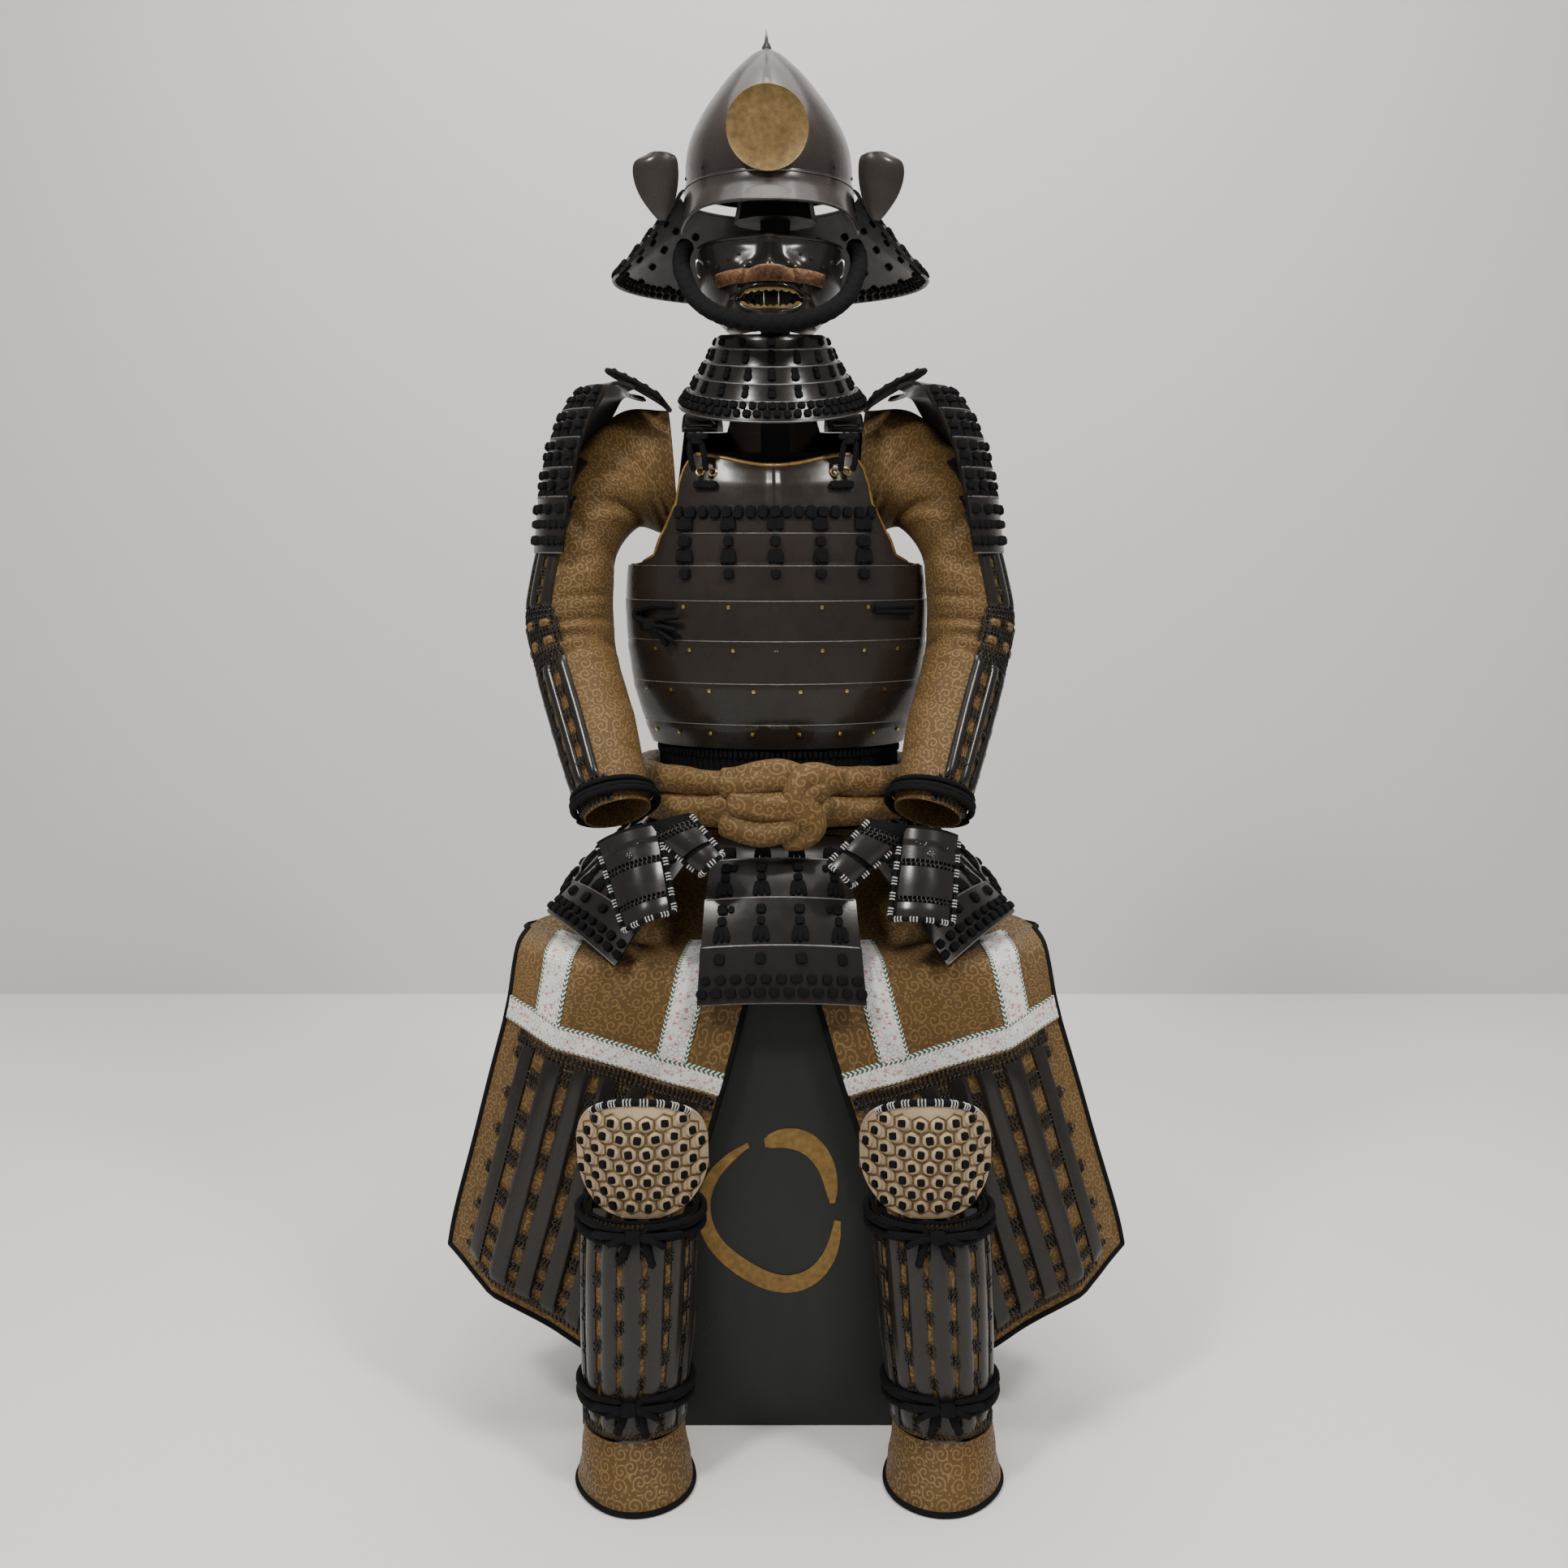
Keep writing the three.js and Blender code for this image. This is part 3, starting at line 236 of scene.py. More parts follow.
def pebble(n=3, roundness=0.75):
    """A rounded block 2 x 2 x 2 about the origin, with n faces to a side.

    The faces look outwards for axes right, down, normal.
    """
    keys, verts, faces = {}, [], []
    line = np.linspace(-1, 1, n + 1)
    for axis in range(3):
        for side in (-1, 1):
            for i in range(n):
                for j in range(n):
                    quad = []
                    for a, b in ((i, j), (i + 1, j), (i + 1, j + 1), (i, j + 1)):
                        p = np.zeros(3)
                        p[axis], p[(axis + 1) % 3], p[(axis + 2) % 3] = side, line[a], line[b]
                        key = tuple(np.round(p, 5))
                        if key not in keys:
                            keys[key] = len(verts)
                            verts.append(lerp(p, p / np.linalg.norm(p), roundness))
                        quad.append(keys[key])
                    faces.append(quad[::-1] if side > 0 else quad)
    return np.array(verts), np.array(faces)


def torus(major=5, minor=3, thin=0.28):
    a = np.arange(major) * 2 * np.pi / major
    b = np.arange(minor) * 2 * np.pi / minor
    verts = [((1 + thin * np.cos(q)) * np.cos(p), (1 + thin * np.cos(q)) * np.sin(p),
        thin * np.sin(q)) for p in a for q in b]
    faces = []
    for i in range(major):
        for j in range(minor):
            k, l = (i + 1) % major, (j + 1) % minor
            faces.append([i * minor + j, i * minor + l, k * minor + l, k * minor + j])
    return np.array(verts), np.array(faces)


PEBBLE, RING = pebble(2), torus()


def smooth_path(points, count):
    """Points evenly along a smooth curve through the given ones."""
    p = np.array(points, float)
    p = np.concatenate([2 * p[:1] - p[1:2], p, 2 * p[-1:] - p[-2:-1]])
    x = np.linspace(0, len(p) - 3 - 1e-6, max(count * 4, 60))
    i = x.astype(int)
    f = x - i
    fine = sum(w[:, None] * p[i + k] for k, w in enumerate(Sheet._weights(f)))
    d = np.concatenate([[0], np.cumsum(np.linalg.norm(np.diff(fine, axis=0), axis=-1))])
    at = np.linspace(0, d[-1], count)
    return np.stack([np.interp(at, d, fine[:, k]) for k in range(3)], -1)


def path_length(points):
    return float(np.linalg.norm(np.diff(np.asarray(points), axis=0), axis=-1).sum())


def tube(path, radius, sides=10, strands=0, pitch=20.0, depth=0.2, flat=1.0, ends=True, up=(0, 0, 1),
        closed=False):
    """A cord along a path, with twisted or plaited strands pressed into its side."""
    p = np.asarray(path, float)
    step = np.gradient(p, axis=0)
    if closed:
        step = np.roll(p, -1, 0) - np.roll(p, 1, 0)
    ahead = unit(step)
    side = np.zeros_like(p)
    side[0] = unit(np.cross(ahead[0], np.array(up, float) + 1e-3))
    for k in range(1, len(p)):
        side[k] = unit(side[k - 1] - ahead[k] * np.dot(side[k - 1], ahead[k]))
    other = np.cross(ahead, side)
    along = np.concatenate([[0], np.cumsum(np.linalg.norm(np.diff(p, axis=0), axis=-1))])
    a = np.arange(sides + 1) * 2 * np.pi / sides
    r = np.broadcast_to(radius, (len(p),)).astype(float)[:, None] * np.ones((1, sides + 1))
    if strands:
        turn = 2 * np.pi * along[:, None] / pitch
        wave = np.abs(np.cos(strands * 0.5 * a[None] + turn)) ** 0.7
        wave = np.maximum(wave, np.abs(np.cos(strands * 0.5 * a[None] - turn)) ** 0.7)
        r = r * (1 - depth + depth * wave)
    if ends and not closed:
        r[0], r[-1] = r[0] * 0.05, r[-1] * 0.05
    v = p[:, None] + r[..., None] * (np.cos(a)[None, :, None] * side[:, None] + flat * np.sin(a)[None, :,
        None] * other[:, None])
    n = len(p) - 1
    f = lattice(n, sides)
    verts = v.reshape(-1, 3)
    if closed:
        last = np.arange(sides)
        f = np.concatenate([f, np.stack([n * (sides + 1) + last, last, last + 1, n * (sides + 1) + last + 1],
            -1)])
    uv = np.stack(np.broadcast_arrays(a[None] * np.mean(radius), along[:, None]), -1).reshape(-1, 2)
    return verts, f[:, ::-1], uv


def lathe(profile, count, centre=(0, 0), ratio=1.0):
    """A turned form from its profile, listed from the top down as (radius, z)."""
    pr = np.array(profile, float)
    a = np.linspace(0, 2 * np.pi, count + 1)
    x = centre[0] + pr[:, :1] * np.sin(a)[None]
    y = centre[1] - pr[:, :1] * ratio * np.cos(a)[None]
    v = np.stack([x, y, np.broadcast_to(pr[:, 1:2], x.shape)], -1)
    return v.reshape(-1, 3), lattice(len(pr) - 1, count), measure(v)

# ------------------------------------------------------------------ materials


class Paint:
    """A node material. The shader's own sockets hold what is the same all over."""

    def __init__(self, name, color, rough=0.5, metal=0.0, coat=0.0, sheen=0.0, spec=0.5):
        self.material = bpy.data.materials.new(name)
        self.material.use_nodes = True
        self.tree = self.material.node_tree
        self.shader = self.tree.nodes["Principled BSDF"]
        for socket, value in (
            ("Base Color", (*color, 1)), ("Roughness", rough), ("Metallic", metal), ("Coat Weight", coat),
            ("Coat Roughness", 0.12), ("Sheen Weight", sheen), ("Sheen Roughness", 0.5),
            ("Specular IOR Level", spec),
        ):
            self.shader.inputs[socket].default_value = value
        self.uv = self.node("ShaderNodeTexCoord").outputs["UV"]
        self.object = self.tree.nodes[-1].outputs["Object"]

    def node(self, kind, settings=(), inputs=()):
        n = self.tree.nodes.new(kind)
        for key, value in dict(settings).items():
            setattr(n, key, value)
        for key, value in dict(inputs).items():
            if isinstance(value, bpy.types.NodeSocket):
                self.tree.links.new(value, n.inputs[key])
            else:
                n.inputs[key].default_value = value
        return n

    def math(self, operation, a, b=0.0):
        n = self.node("ShaderNodeMath", {"operation": operation}, {0: a, 1: b})
        return n.outputs[0]

    def noise(self, scale, detail=3.0, where=None):
        n = self.node("ShaderNodeTexNoise", {},
            {"Scale": scale, "Detail": detail, "Vector": where or self.object})
        return n.outputs["Fac"]

    def ramp(self, value, low, high, out_low=0.0, out_high=1.0):
        n = self.node("ShaderNodeMapRange", {}, {0: value, 1: low, 2: high, 3: out_low, 4: out_high})
        return n.outputs[0]

    def mix(self, factor, a, b):
        n = self.node("ShaderNodeMix", {"data_type": "RGBA"})
        for key, value in ((0, factor), (6, a), (7, b)):
            if isinstance(value, bpy.types.NodeSocket):
                self.tree.links.new(value, n.inputs[key])
            else:
                n.inputs[key].default_value = value if key == 0 else (*value, 1)
        return n.outputs[2]

    def to(self, socket, value):
        self.tree.links.new(value, self.shader.inputs[socket])
        return self

    def bump(self, height, distance=0.001, strength=0.6):
        n = self.node("ShaderNodeBump", {}, {"Height": height, "Distance": distance, "Strength": strength})
        return self.to("Normal", n.outputs[0])


def lacquer(name, color, rough, coat=0.12, wear=1.25):
    m = Paint(name, color, rough, 0.0, coat, 0.0, 0.28)
    cloudy = m.noise(14, 4)
    m.to("Base Color", m.mix(m.ramp(cloudy, 0.35, 0.7), color, tuple(c * wear for c in color)))
    m.to("Roughness", m.ramp(m.noise(60, 5), 0.3, 0.7, rough * 0.85, rough * 1.25))
    return m.bump(m.noise(420, 2), 0.0004, 0.12).material


def silk(name, color, scale=900.0):
    """Plaited black silk: fine slanting strands with a soft sheen."""
    m = Paint(name, color, 0.88, 0.0, 0.0, 0.0, 0.12)
    one = m.node("ShaderNodeTexWave", {"bands_direction": "DIAGONAL"},
        {"Vector": m.object, "Scale": scale * 0.35, "Distortion": 3.0})
    fuzz = m.noise(scale, 3)
    both = m.math("ADD", one.outputs["Fac"], fuzz)
    m.to("Base Color", m.mix(m.ramp(both, 0.4, 1.6), tuple(c * 0.55 for c in color),
        tuple(c * 1.7 for c in color)))
    return m.bump(both, 0.0012, 0.7).material


def damask():
    """Brown silk with a lighter scrolling vine: a curl in each cell and small leaves between."""
    ground, light = (0.092, 0.050, 0.014), (0.205, 0.125, 0.042)
    m = Paint("damask", ground, 0.62, 0.0, 0.0, 0.04, 0.3)
    cell = m.node("ShaderNodeTexVoronoi", {"voronoi_dimensions": "2D"},
        {"Vector": m.uv, "Scale": 0.62, "Randomness": 0.8})
    local = m.node("ShaderNodeVectorMath", {"operation": "SUBTRACT"},
        {0: m.uv, 1: cell.outputs["Position"]}).outputs[0]
    part = m.node("ShaderNodeSeparateXYZ", {}, {0: local})
    chance = m.node("ShaderNodeSeparateColor", {}, {0: cell.outputs["Color"]})
    turn = m.math("DIVIDE", m.math("ARCTAN2", part.outputs[1], part.outputs[0]), 2 * math.pi)
    hand = m.math("SUBTRACT", m.math("MULTIPLY", m.math("GREATER_THAN", chance.outputs[1], 0.5), 2.0), 1.0)
    reach = m.node("ShaderNodeVectorMath", {"operation": "LENGTH"}, {0: local}).outputs["Value"]
    coil = m.math("ADD", m.math("MULTIPLY", turn, hand), m.math("MULTIPLY", reach, 1.9))
    coil = m.math("FRACT", m.math("ADD", coil, m.math("MULTIPLY", chance.outputs[0], 7.0)))
    line = m.ramp(m.math("ABSOLUTE", m.math("SUBTRACT", coil, 0.5)), 0.20, 0.11)
    near = m.ramp(reach, 0.86, 0.74)
    thick = m.ramp(reach, 0.02, 0.12)
    curl = m.math("MULTIPLY", m.math("MULTIPLY", line, near), thick)
    bent = m.node("ShaderNodeVectorMath", {"operation": "ADD"}, {0: m.uv, 1: m.node(
        "ShaderNodeTexNoise", {"noise_dimensions": "2D"},
            {"Vector": m.uv, "Scale": 1.1}).outputs["Color"]}).outputs[0]
    leaf = m.node("ShaderNodeTexVoronoi", {"voronoi_dimensions": "2D"},
        {"Vector": bent, "Scale": 1.75, "Randomness": 1.0})
    leaves = m.math("MULTIPLY", m.ramp(leaf.outputs["Distance"], 0.30, 0.20), m.ramp(reach, 0.55, 0.75))
    figure = m.math("MAXIMUM", curl, leaves)
    woven = m.noise(5, 4)
    soft = m.mix(m.ramp(woven, 0.3, 0.7), tuple(c * 0.82 for c in ground), tuple(c * 1.15 for c in ground))
    m.to("Base Color", m.mix(m.math("MULTIPLY", figure, 0.75), soft, light))
    m.to("Roughness", m.ramp(figure, 0.0, 1.0, 0.66, 0.42))
    weave = m.node("ShaderNodeTexWave", {"bands_direction": "DIAGONAL"},
        {"Vector": m.uv, "Scale": 9.0}).outputs["Fac"]
    return m.bump(m.math("ADD", m.math("MULTIPLY", weave, 0.25), m.math("MULTIPLY", figure, 0.5)), 0.0006,
        0.5).material


def band_cloth():
    """White braid with small printed sprigs, and a green and black herringbone at its edges."""
    white = (0.66, 0.66, 0.63)
    m = Paint("white_braid", white, 0.78, 0.0, 0.0, 0.1)
    part = m.node("ShaderNodeSeparateXYZ", {}, {0: m.uv})
    along, across = part.outputs[0], m.math("ABSOLUTE", part.outputs[1])
    cell = m.node("ShaderNodeTexVoronoi", {"voronoi_dimensions": "2D"},
        {"Vector": m.uv, "Scale": 1.5, "Randomness": 0.9})
    line = m.node("ShaderNodeTexVoronoi", {"voronoi_dimensions": "2D", "feature": "DISTANCE_TO_EDGE"},
        {"Vector": m.uv, "Scale": 2.3})
    tint = m.node("ShaderNodeSeparateColor", {}, {0: cell.outputs["Color"]})
    inside = m.ramp(across, 0.98, 0.9)
    sprig = m.math("MULTIPLY", m.ramp(line.outputs["Distance"], 0.075, 0.035),
        m.math("GREATER_THAN", tint.outputs[0], 0.35))
    dots = m.math("MULTIPLY", m.ramp(cell.outputs["Distance"], 0.26, 0.2),
        m.math("GREATER_THAN", tint.outputs[1], 0.45))
    color = m.mix(m.math("MULTIPLY", m.math("MULTIPLY", sprig, inside), 0.8), white, (0.10, 0.11, 0.10))
    color = m.mix(m.math("MULTIPLY", m.math("MULTIPLY", dots, inside), 0.75), color, (0.50, 0.09, 0.09))
    slant = m.math("FRACT", m.math("MULTIPLY",
        m.math("ADD", along, m.math("MULTIPLY", m.math("ABSOLUTE", m.math("SUBTRACT", across, 1.13)), 2.0)),
            1.8))
    edge = m.math("MULTIPLY", m.ramp(across, 0.97, 1.03), m.math("GREATER_THAN", slant, 0.42))
    color = m.mix(edge, color, (0.035, 0.075, 0.045))
    m.to("Base Color", color)
    return m.bump(m.noise(700, 2), 0.0006, 0.5).material


def hide(name, color):
    m = Paint(name, color, 0.68)
    m.to("Base Color", m.mix(m.ramp(m.noise(22, 5), 0.3, 0.75), tuple(c * 0.82 for c in color),
        tuple(min(1, c * 1.14) for c in color)))
    grain = m.node("ShaderNodeTexVoronoi", {}, {"Vector": m.object, "Scale": 520.0}).outputs["Distance"]
    return m.bump(m.math("ADD", grain, m.noise(150, 4)), 0.0008, 0.4).material


def metal(name, color, rough, bumpy=0.25, metallic=1.0):
    m = Paint(name, color, rough, metallic)
    m.to("Base Color", m.mix(m.ramp(m.noise(160, 4), 0.35, 0.7), tuple(c * 0.75 for c in color),
        tuple(min(1, c * 1.15) for c in color)))
    m.to("Roughness", m.ramp(m.noise(90, 4), 0.3, 0.7, rough * 0.8, min(1, rough * 1.3)))
    return m.bump(m.noise(600, 3), 0.0006, bumpy).material


def bristle():
    color = (0.175, 0.072, 0.020)
    m = Paint("bristle", color, 0.7, 0.0, 0.0, 0.2)
    m.to("Base Color", m.mix(m.ramp(m.noise(260, 4), 0.35, 0.68), tuple(c * 0.45 for c in color),
        tuple(c * 1.5 for c in color)))
    return m.bump(m.noise(900, 2), 0.0012, 0.8).material


def painted_wood(name, color, rough):
    m = Paint(name, color, rough, 0.0, 0.0, 0.0, 0.4)
    stretch = m.node("ShaderNodeMapping", {}, {0: m.object, 3: (1.0, 1.0, 0.15)}).outputs[0]
    grain = m.noise(40, 6, stretch)
    m.to("Base Color", m.mix(m.ramp(grain, 0.35, 0.7), tuple(c * 0.85 for c in color),
        tuple(c * 1.2 for c in color)))
    m.to("Roughness", m.ramp(grain, 0.3, 0.7, rough * 0.9, min(1, rough * 1.12)))
    return m.bump(m.noise(300, 4), 0.0006, 0.25).material


LACQUER = lacquer("lacquer", (0.012, 0.0100, 0.0088), 0.24)
PLATE_LACQUER = lacquer("plate_lacquer", (0.017, 0.0125, 0.0102), 0.27, 0.12)
HELMET_LACQUER = lacquer("helmet_lacquer", (0.026, 0.021, 0.0185), 0.26, 0.2)
# pale grey colour for the lame edges: a painted highlight standing in for the light each edge catches
RIM_HIGHLIGHT = metal("lame_edge_highlight", (0.12, 0.115, 0.11), 0.42, 0.2, 0.4)
DARK_INSIDE = lacquer("inside_lacquer", (0.006, 0.0055, 0.005), 0.35, 0.2)
SILK = silk("black_silk", (0.0065, 0.0065, 0.0072))
WHITE_THREAD = silk("white_thread", (0.50, 0.50, 0.48))
MAIL = metal("mail", (0.022, 0.019, 0.016), 0.5, 0.4, 0.35)
DAMASK = damask()
BRAID = band_cloth()
CREAM = hide("cream_leather", (0.52, 0.43, 0.31))
TAN = hide("tan_leather", (0.40, 0.295, 0.185))
DARK_LEATHER = hide("dark_leather", (0.022, 0.015, 0.010))
GOLD = metal("gold_leaf", (0.21, 0.125, 0.036), 0.42, 0.2, 0.6)
DULL_GOLD = metal("dull_gold", (0.165, 0.105, 0.038), 0.45, 0.25, 0.5)
BRASS = metal("brass", (0.52, 0.37, 0.15), 0.28, 0.1)
SILVER = metal("silver", (0.62, 0.60, 0.57), 0.3, 0.1)
BRISTLE = bristle()
BOX_PAINT = painted_wood("box_paint", (0.0065, 0.0085, 0.0078), 0.5)
WOOD = painted_wood("stand_wood", (0.012, 0.010, 0.008), 0.6)
PEG_BONE = Paint("pale_cord", (0.3, 0.28, 0.24), 0.7).material

# ------------------------------------------------------------------ pieces of the scene

LEAN_FLOOR, LEAN_RATE, ARM_SHIFT = 16.0, -0.0164, -7.0


def leaned(p, shift=0.0):
    p = np.array(p, float)
    p[..., 0] += LEAN_FLOOR + LEAN_RATE * p[..., 2] + shift
    return p


def piece(name, parts, nodes=(), flip=False, shift=0.0, lean=True, sharp=45):
    """One object from (mesh, material) parts in upright millimetres. It rides on the part's one body."""
    slots, verts, loops, sizes, which, uvs, base = [], [], [], [], [], [], 0
    for (v, f, uv), mat in parts:
        if mat not in slots:
            slots.append(mat)
        v, f = np.array(v, float), np.array(f)
        if flip:
            v[:, 0] *= -1
            f = f[:, ::-1]
        verts.append(leaned(v, shift) if lean else v)
        loops.append((f + base).reshape(-1))
        sizes.append(np.full(len(f), f.shape[1]))
        which.append(np.full(len(f), slots.index(mat)))
        uv = np.zeros((len(v), 2)) if uv is None else np.asarray(uv) * 0.1
        uvs.append(uv[f.reshape(-1)])
        base += len(v)
    verts, loops, sizes = np.concatenate(verts) * 0.001, np.concatenate(loops), np.concatenate(sizes)
    mesh = bpy.data.meshes.new(name)
    mesh.vertices.add(len(verts))
    mesh.vertices.foreach_set("co", verts.astype(np.float32).reshape(-1))
    mesh.loops.add(len(loops))
    mesh.loops.foreach_set("vertex_index", loops.astype(np.int32))
    mesh.polygons.add(len(sizes))
    starts = np.concatenate([[0], np.cumsum(sizes)[:-1]])
    mesh.polygons.foreach_set("loop_start", starts.astype(np.int32))
    mesh.polygons.foreach_set("material_index", np.concatenate(which).astype(np.int32))
    layer = mesh.uv_layers.new(name="cloth")
    layer.data.foreach_set("uv", np.concatenate(uvs).astype(np.float32).reshape(-1))
    for mat in slots:
        mesh.materials.append(mat)
    mesh.update(calc_edges=True)
    mesh.validate()
    mesh.polygons.foreach_set("use_smooth", np.ones(len(mesh.polygons), bool))
    mesh.set_sharp_from_angle(angle=math.radians(sharp))
    obj = bpy.data.objects.new(name, mesh)
    bpy.context.scene.collection.objects.link(obj)
    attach(obj, "root")
    if nodes:
        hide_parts(*([nodes] if isinstance(nodes, str) else nodes))
    return obj


def pair(name, parts, node=None, shift=0.0, sharp=45):
    """The left piece as drawn, and the right one as its mirror image."""
    return [
        piece(f"{name}_{side}", parts, f"{node}_{side}" if node else (), side == "right", shift, True, sharp)
        for side in ("left", "right")
    ]


def lames(sheet, edges, cols, per=6, across=24, lift=2.6, thick=2.4, roll=1.0):
    """Laced lames: each stands out at its top edge, which laps over the lame above, and has a pale rim there, a
    painted highlight along that edge.
    """
    parts = []
    for k, (s0, s1) in enumerate(zip(edges[:-1], edges[1:])):
        lap = 0.06 * (s1 - s0)

        def height(ss, tt, s0=s0, s1=s1, k=k):
            x = (ss - s0) / (s1 - s0)
            up = lift * (1 - x) + 0.7 * roll * bell(x, 0.0, 0.06) + 0.5 * roll * bell(x, 1.0, 0.05)
            return up if k else up * (x > 0.02)
        parts.append((shell(sheet, (max(s0 - lap, edges[0]), s1), cols, per, across, (0.4, thick), height),
            LACQUER))
        if k:
            # a pale tube along the lame's top edge: a painted highlight
            rim = sheet.place(np.full(across + 1, s0 - lap * 0.6), np.linspace(*cols, across + 1),
                thick + lift + 0.3)
            parts.append((tube(rim, 1.1, 5), RIM_HIGHLIGHT))
    # a pale tube along the lowest edge: a painted highlight as well
    low = sheet.place(np.full(across + 1, edges[-1]), np.linspace(cols[0], cols[1], across + 1), thick * 0.6)
    parts.append((tube(low, 1.5, 5), RIM_HIGHLIGHT))
    return parts


def knots(sheet, s, t, size=(5.0, 5.5, 3.2), h=3.4, jitter=0.25):
    """Silk knots of the lacing at these rows and columns of a sheet."""
    s, t = (np.ravel(a).astype(float) for a in np.broadcast_arrays(s, t))
    place = sheet.axes(s, t, h)
    vary = 1 + rng.uniform(-jitter, jitter, (len(s), 3)) * 0.5
    return stamp(PEBBLE, place, np.array(size) * vary, rng.uniform(-0.18, 0.18, len(s))), SILK


def brushes(sheet, s, t, length=15.0, width=15.0, strands=3, h=3.2, spread=0.16):
    """Short upright bundles of lacing below or above a knot, fanned a little."""
    s, t = (np.ravel(a).astype(float) for a in np.broadcast_arrays(s, t))
    origin, right, down, normal = sheet.axes(s, t, h)
    out = []
    for k in range(strands):
        q = (k - (strands - 1) / 2) / max(strands - 1, 1) * 2
        centre = origin + right * (q * width * 0.33)
        size = np.array([width / strands * 0.62, length * 0.5, 2.6]) * (
            1 + rng.uniform(-0.1, 0.1, (len(s), 3)))
        out.append((stamp(PEBBLE, (centre, right, down, normal), size,
            np.full(len(s), -q * spread) + rng.uniform(-0.05, 0.05, len(s))), SILK))
    return out


def mail_patch(sheet, s, t, pitch=5.4, ring=3.1, h=1.6, limit=1400):
    """Links of mail over part of a sheet, every other row set off by half a link."""
    mid_s, mid_t = (s[0] + s[1]) / 2, (t[0] + t[1]) / 2
    _, _, _, per_row, per_col = sheet.sides(mid_s, mid_t)
    n = max(1, int(round(float(per_row) * abs(s[1] - s[0]) / (pitch * 0.86))))
    m = max(1, int(round(float(per_col) * abs(t[1] - t[0]) / pitch)))
    while n * m > limit:
        n, m = int(n * 0.9), int(m * 0.9)
    i, j = np.meshgrid(np.arange(n) + 0.5, np.arange(m) + 0.5, indexing="ij")
    j = j + 0.25 * (np.mod(i - 0.5, 2) * 2 - 1)
    ss, tt = lerp(s[0], s[1], i / n).ravel(), lerp(t[0], t[1], np.clip(j / m, 0.04, 0.96)).ravel()
    origin, right, down, normal = sheet.axes(ss, tt, h)
    tip = np.where(np.mod(i.ravel() - 0.5, 2) > 0.5, 0.5, -0.5) + rng.uniform(-0.2, 0.2, len(ss))
    c, w = np.cos(tip)[:, None], np.sin(tip)[:, None]
    return stamp(RING, (origin, right * c + normal * w, down, normal * c - right * w),
        (ring, ring, ring)), MAIL


def merged(parts):
    """Parts joined by material, so that a piece has few of them."""
    by = {}
    for (v, f, uv), mat in parts:
        by.setdefault((mat.name, f.shape[1]), (mat, []))[1].append((v, f, uv))
    out = []
    for mat, meshes in by.values():
        verts, faces, uvs, base = [], [], [], 0
        for v, f, uv in meshes:
            verts.append(v)
            faces.append(f + base)
            uvs.append(np.zeros((len(v), 2)) if uv is None else uv)
            base += len(v)
        out.append(((np.concatenate(verts), np.concatenate(faces), np.concatenate(uvs)), mat))
    return out

# ------------------------------------------------------------------ box and stand

BOX_W, BOX_D, BOX_H, LID_H = 444.0, 380.0, 504.0, 40.0


def rounded_block(x, y, z, centre, r=2.5):
    line = lambda half: np.array([-half, -half + r * 0.3, -half + r, 0, half - r, half - r * 0.3, half])
    lines = [line(k / 2) for k in (x, y, z)]
    keys, verts, faces = {}, [], []
    half = np.array([x, y, z]) / 2
    for axis in range(3):
        a, b = (axis + 1) % 3, (axis + 2) % 3
        for side in (-1, 1):
            for i in range(6):
                for j in range(6):
                    quad = []
                    for p, q in ((i, j), (i + 1, j), (i + 1, j + 1), (i, j + 1)):
                        v = np.zeros(3)
                        v[axis], v[a], v[b] = side * half[axis], lines[a][p], lines[b][q]
                        core = np.clip(v, -(half - r), half - r)
                        away = v - core
                        long = np.linalg.norm(away)
                        v = core + away / max(long, 1e-9) * min(long, r)
                        key = tuple(np.round(v, 4))
                        if key not in keys:
                            keys[key] = len(verts)
                            verts.append(v)
                        quad.append(keys[key])
                    if len(set(quad)) == 4:
                        faces.append(quad if side > 0 else quad[::-1])
    return np.array(verts) + np.array(centre, float), np.array(faces), None


def brush_ring():
    """A plain ring of two brush strokes in gold on the front of the box: a generic mark."""
    parts = []
    for start, sweep, radius, wide in ((100, 235, 76, 17), (350, 95, 70, 20)):
        a = np.radians(start + np.linspace(0, sweep, 49))
        x = np.linspace(0, 1, 49)
        half = wide * (0.35 + 0.65 * np.sin(np.pi * np.clip(x * 1.06 - 0.02, 0, 1)) ** 0.5) * (1 - 0.25 * x)
        q = np.linspace(-1, 1, 7)
        r = radius + 5 * np.sin(3 * a[:, None]) + q[None] * half[:, None] * 0.62
        px, pz = r * np.sin(a)[:, None], 1.16 * r * np.cos(a)[:, None]
        outer = np.stack([px, np.full_like(px, -BOX_D / 2 - 0.9), 262 + pz], -1)
        inner = outer + np.array([0, 0.8, 0])
        v, f, uv = closed_grid(outer, inner)
        parts.append(((v, f[:, ::-1], uv), GOLD))
    return parts


piece("box_body_shell", [(rounded_block(BOX_W, BOX_D, BOX_H, (0, 0, BOX_H / 2)), BOX_PAINT)], "box_body",
    lean=False)
piece("box_lid_shell", [(rounded_block(BOX_W + 6, BOX_D + 6, LID_H, (0, 0, BOX_H + 0.3 + LID_H / 2)),
    BOX_PAINT)], "box_lid", lean=False)
piece("box_mark", brush_ring(), lean=False)
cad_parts["stand_post"].data.materials.clear()
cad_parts["stand_post"].data.materials.append(WOOD)

# ------------------------------------------------------------------ helmet

HELMET_Y, BOWL_W, DEEP = -20.0, 94.5, 1.22
BOWL = [(3, 1558), (17, 1550), (32, 1537), (48, 1520), (72.5, 1487), (89, 1455), (94.5, 1427), (93.5, 1405)]


def bowl_sheet():
    fine = smooth_path([(r, 0, z) for r, z in BOWL], 30)
    a = np.arange(72) * 5.0
    return Sheet([around(HELMET_Y, r, r * DEEP, a, z) for r, _, z in fine], closed=True)


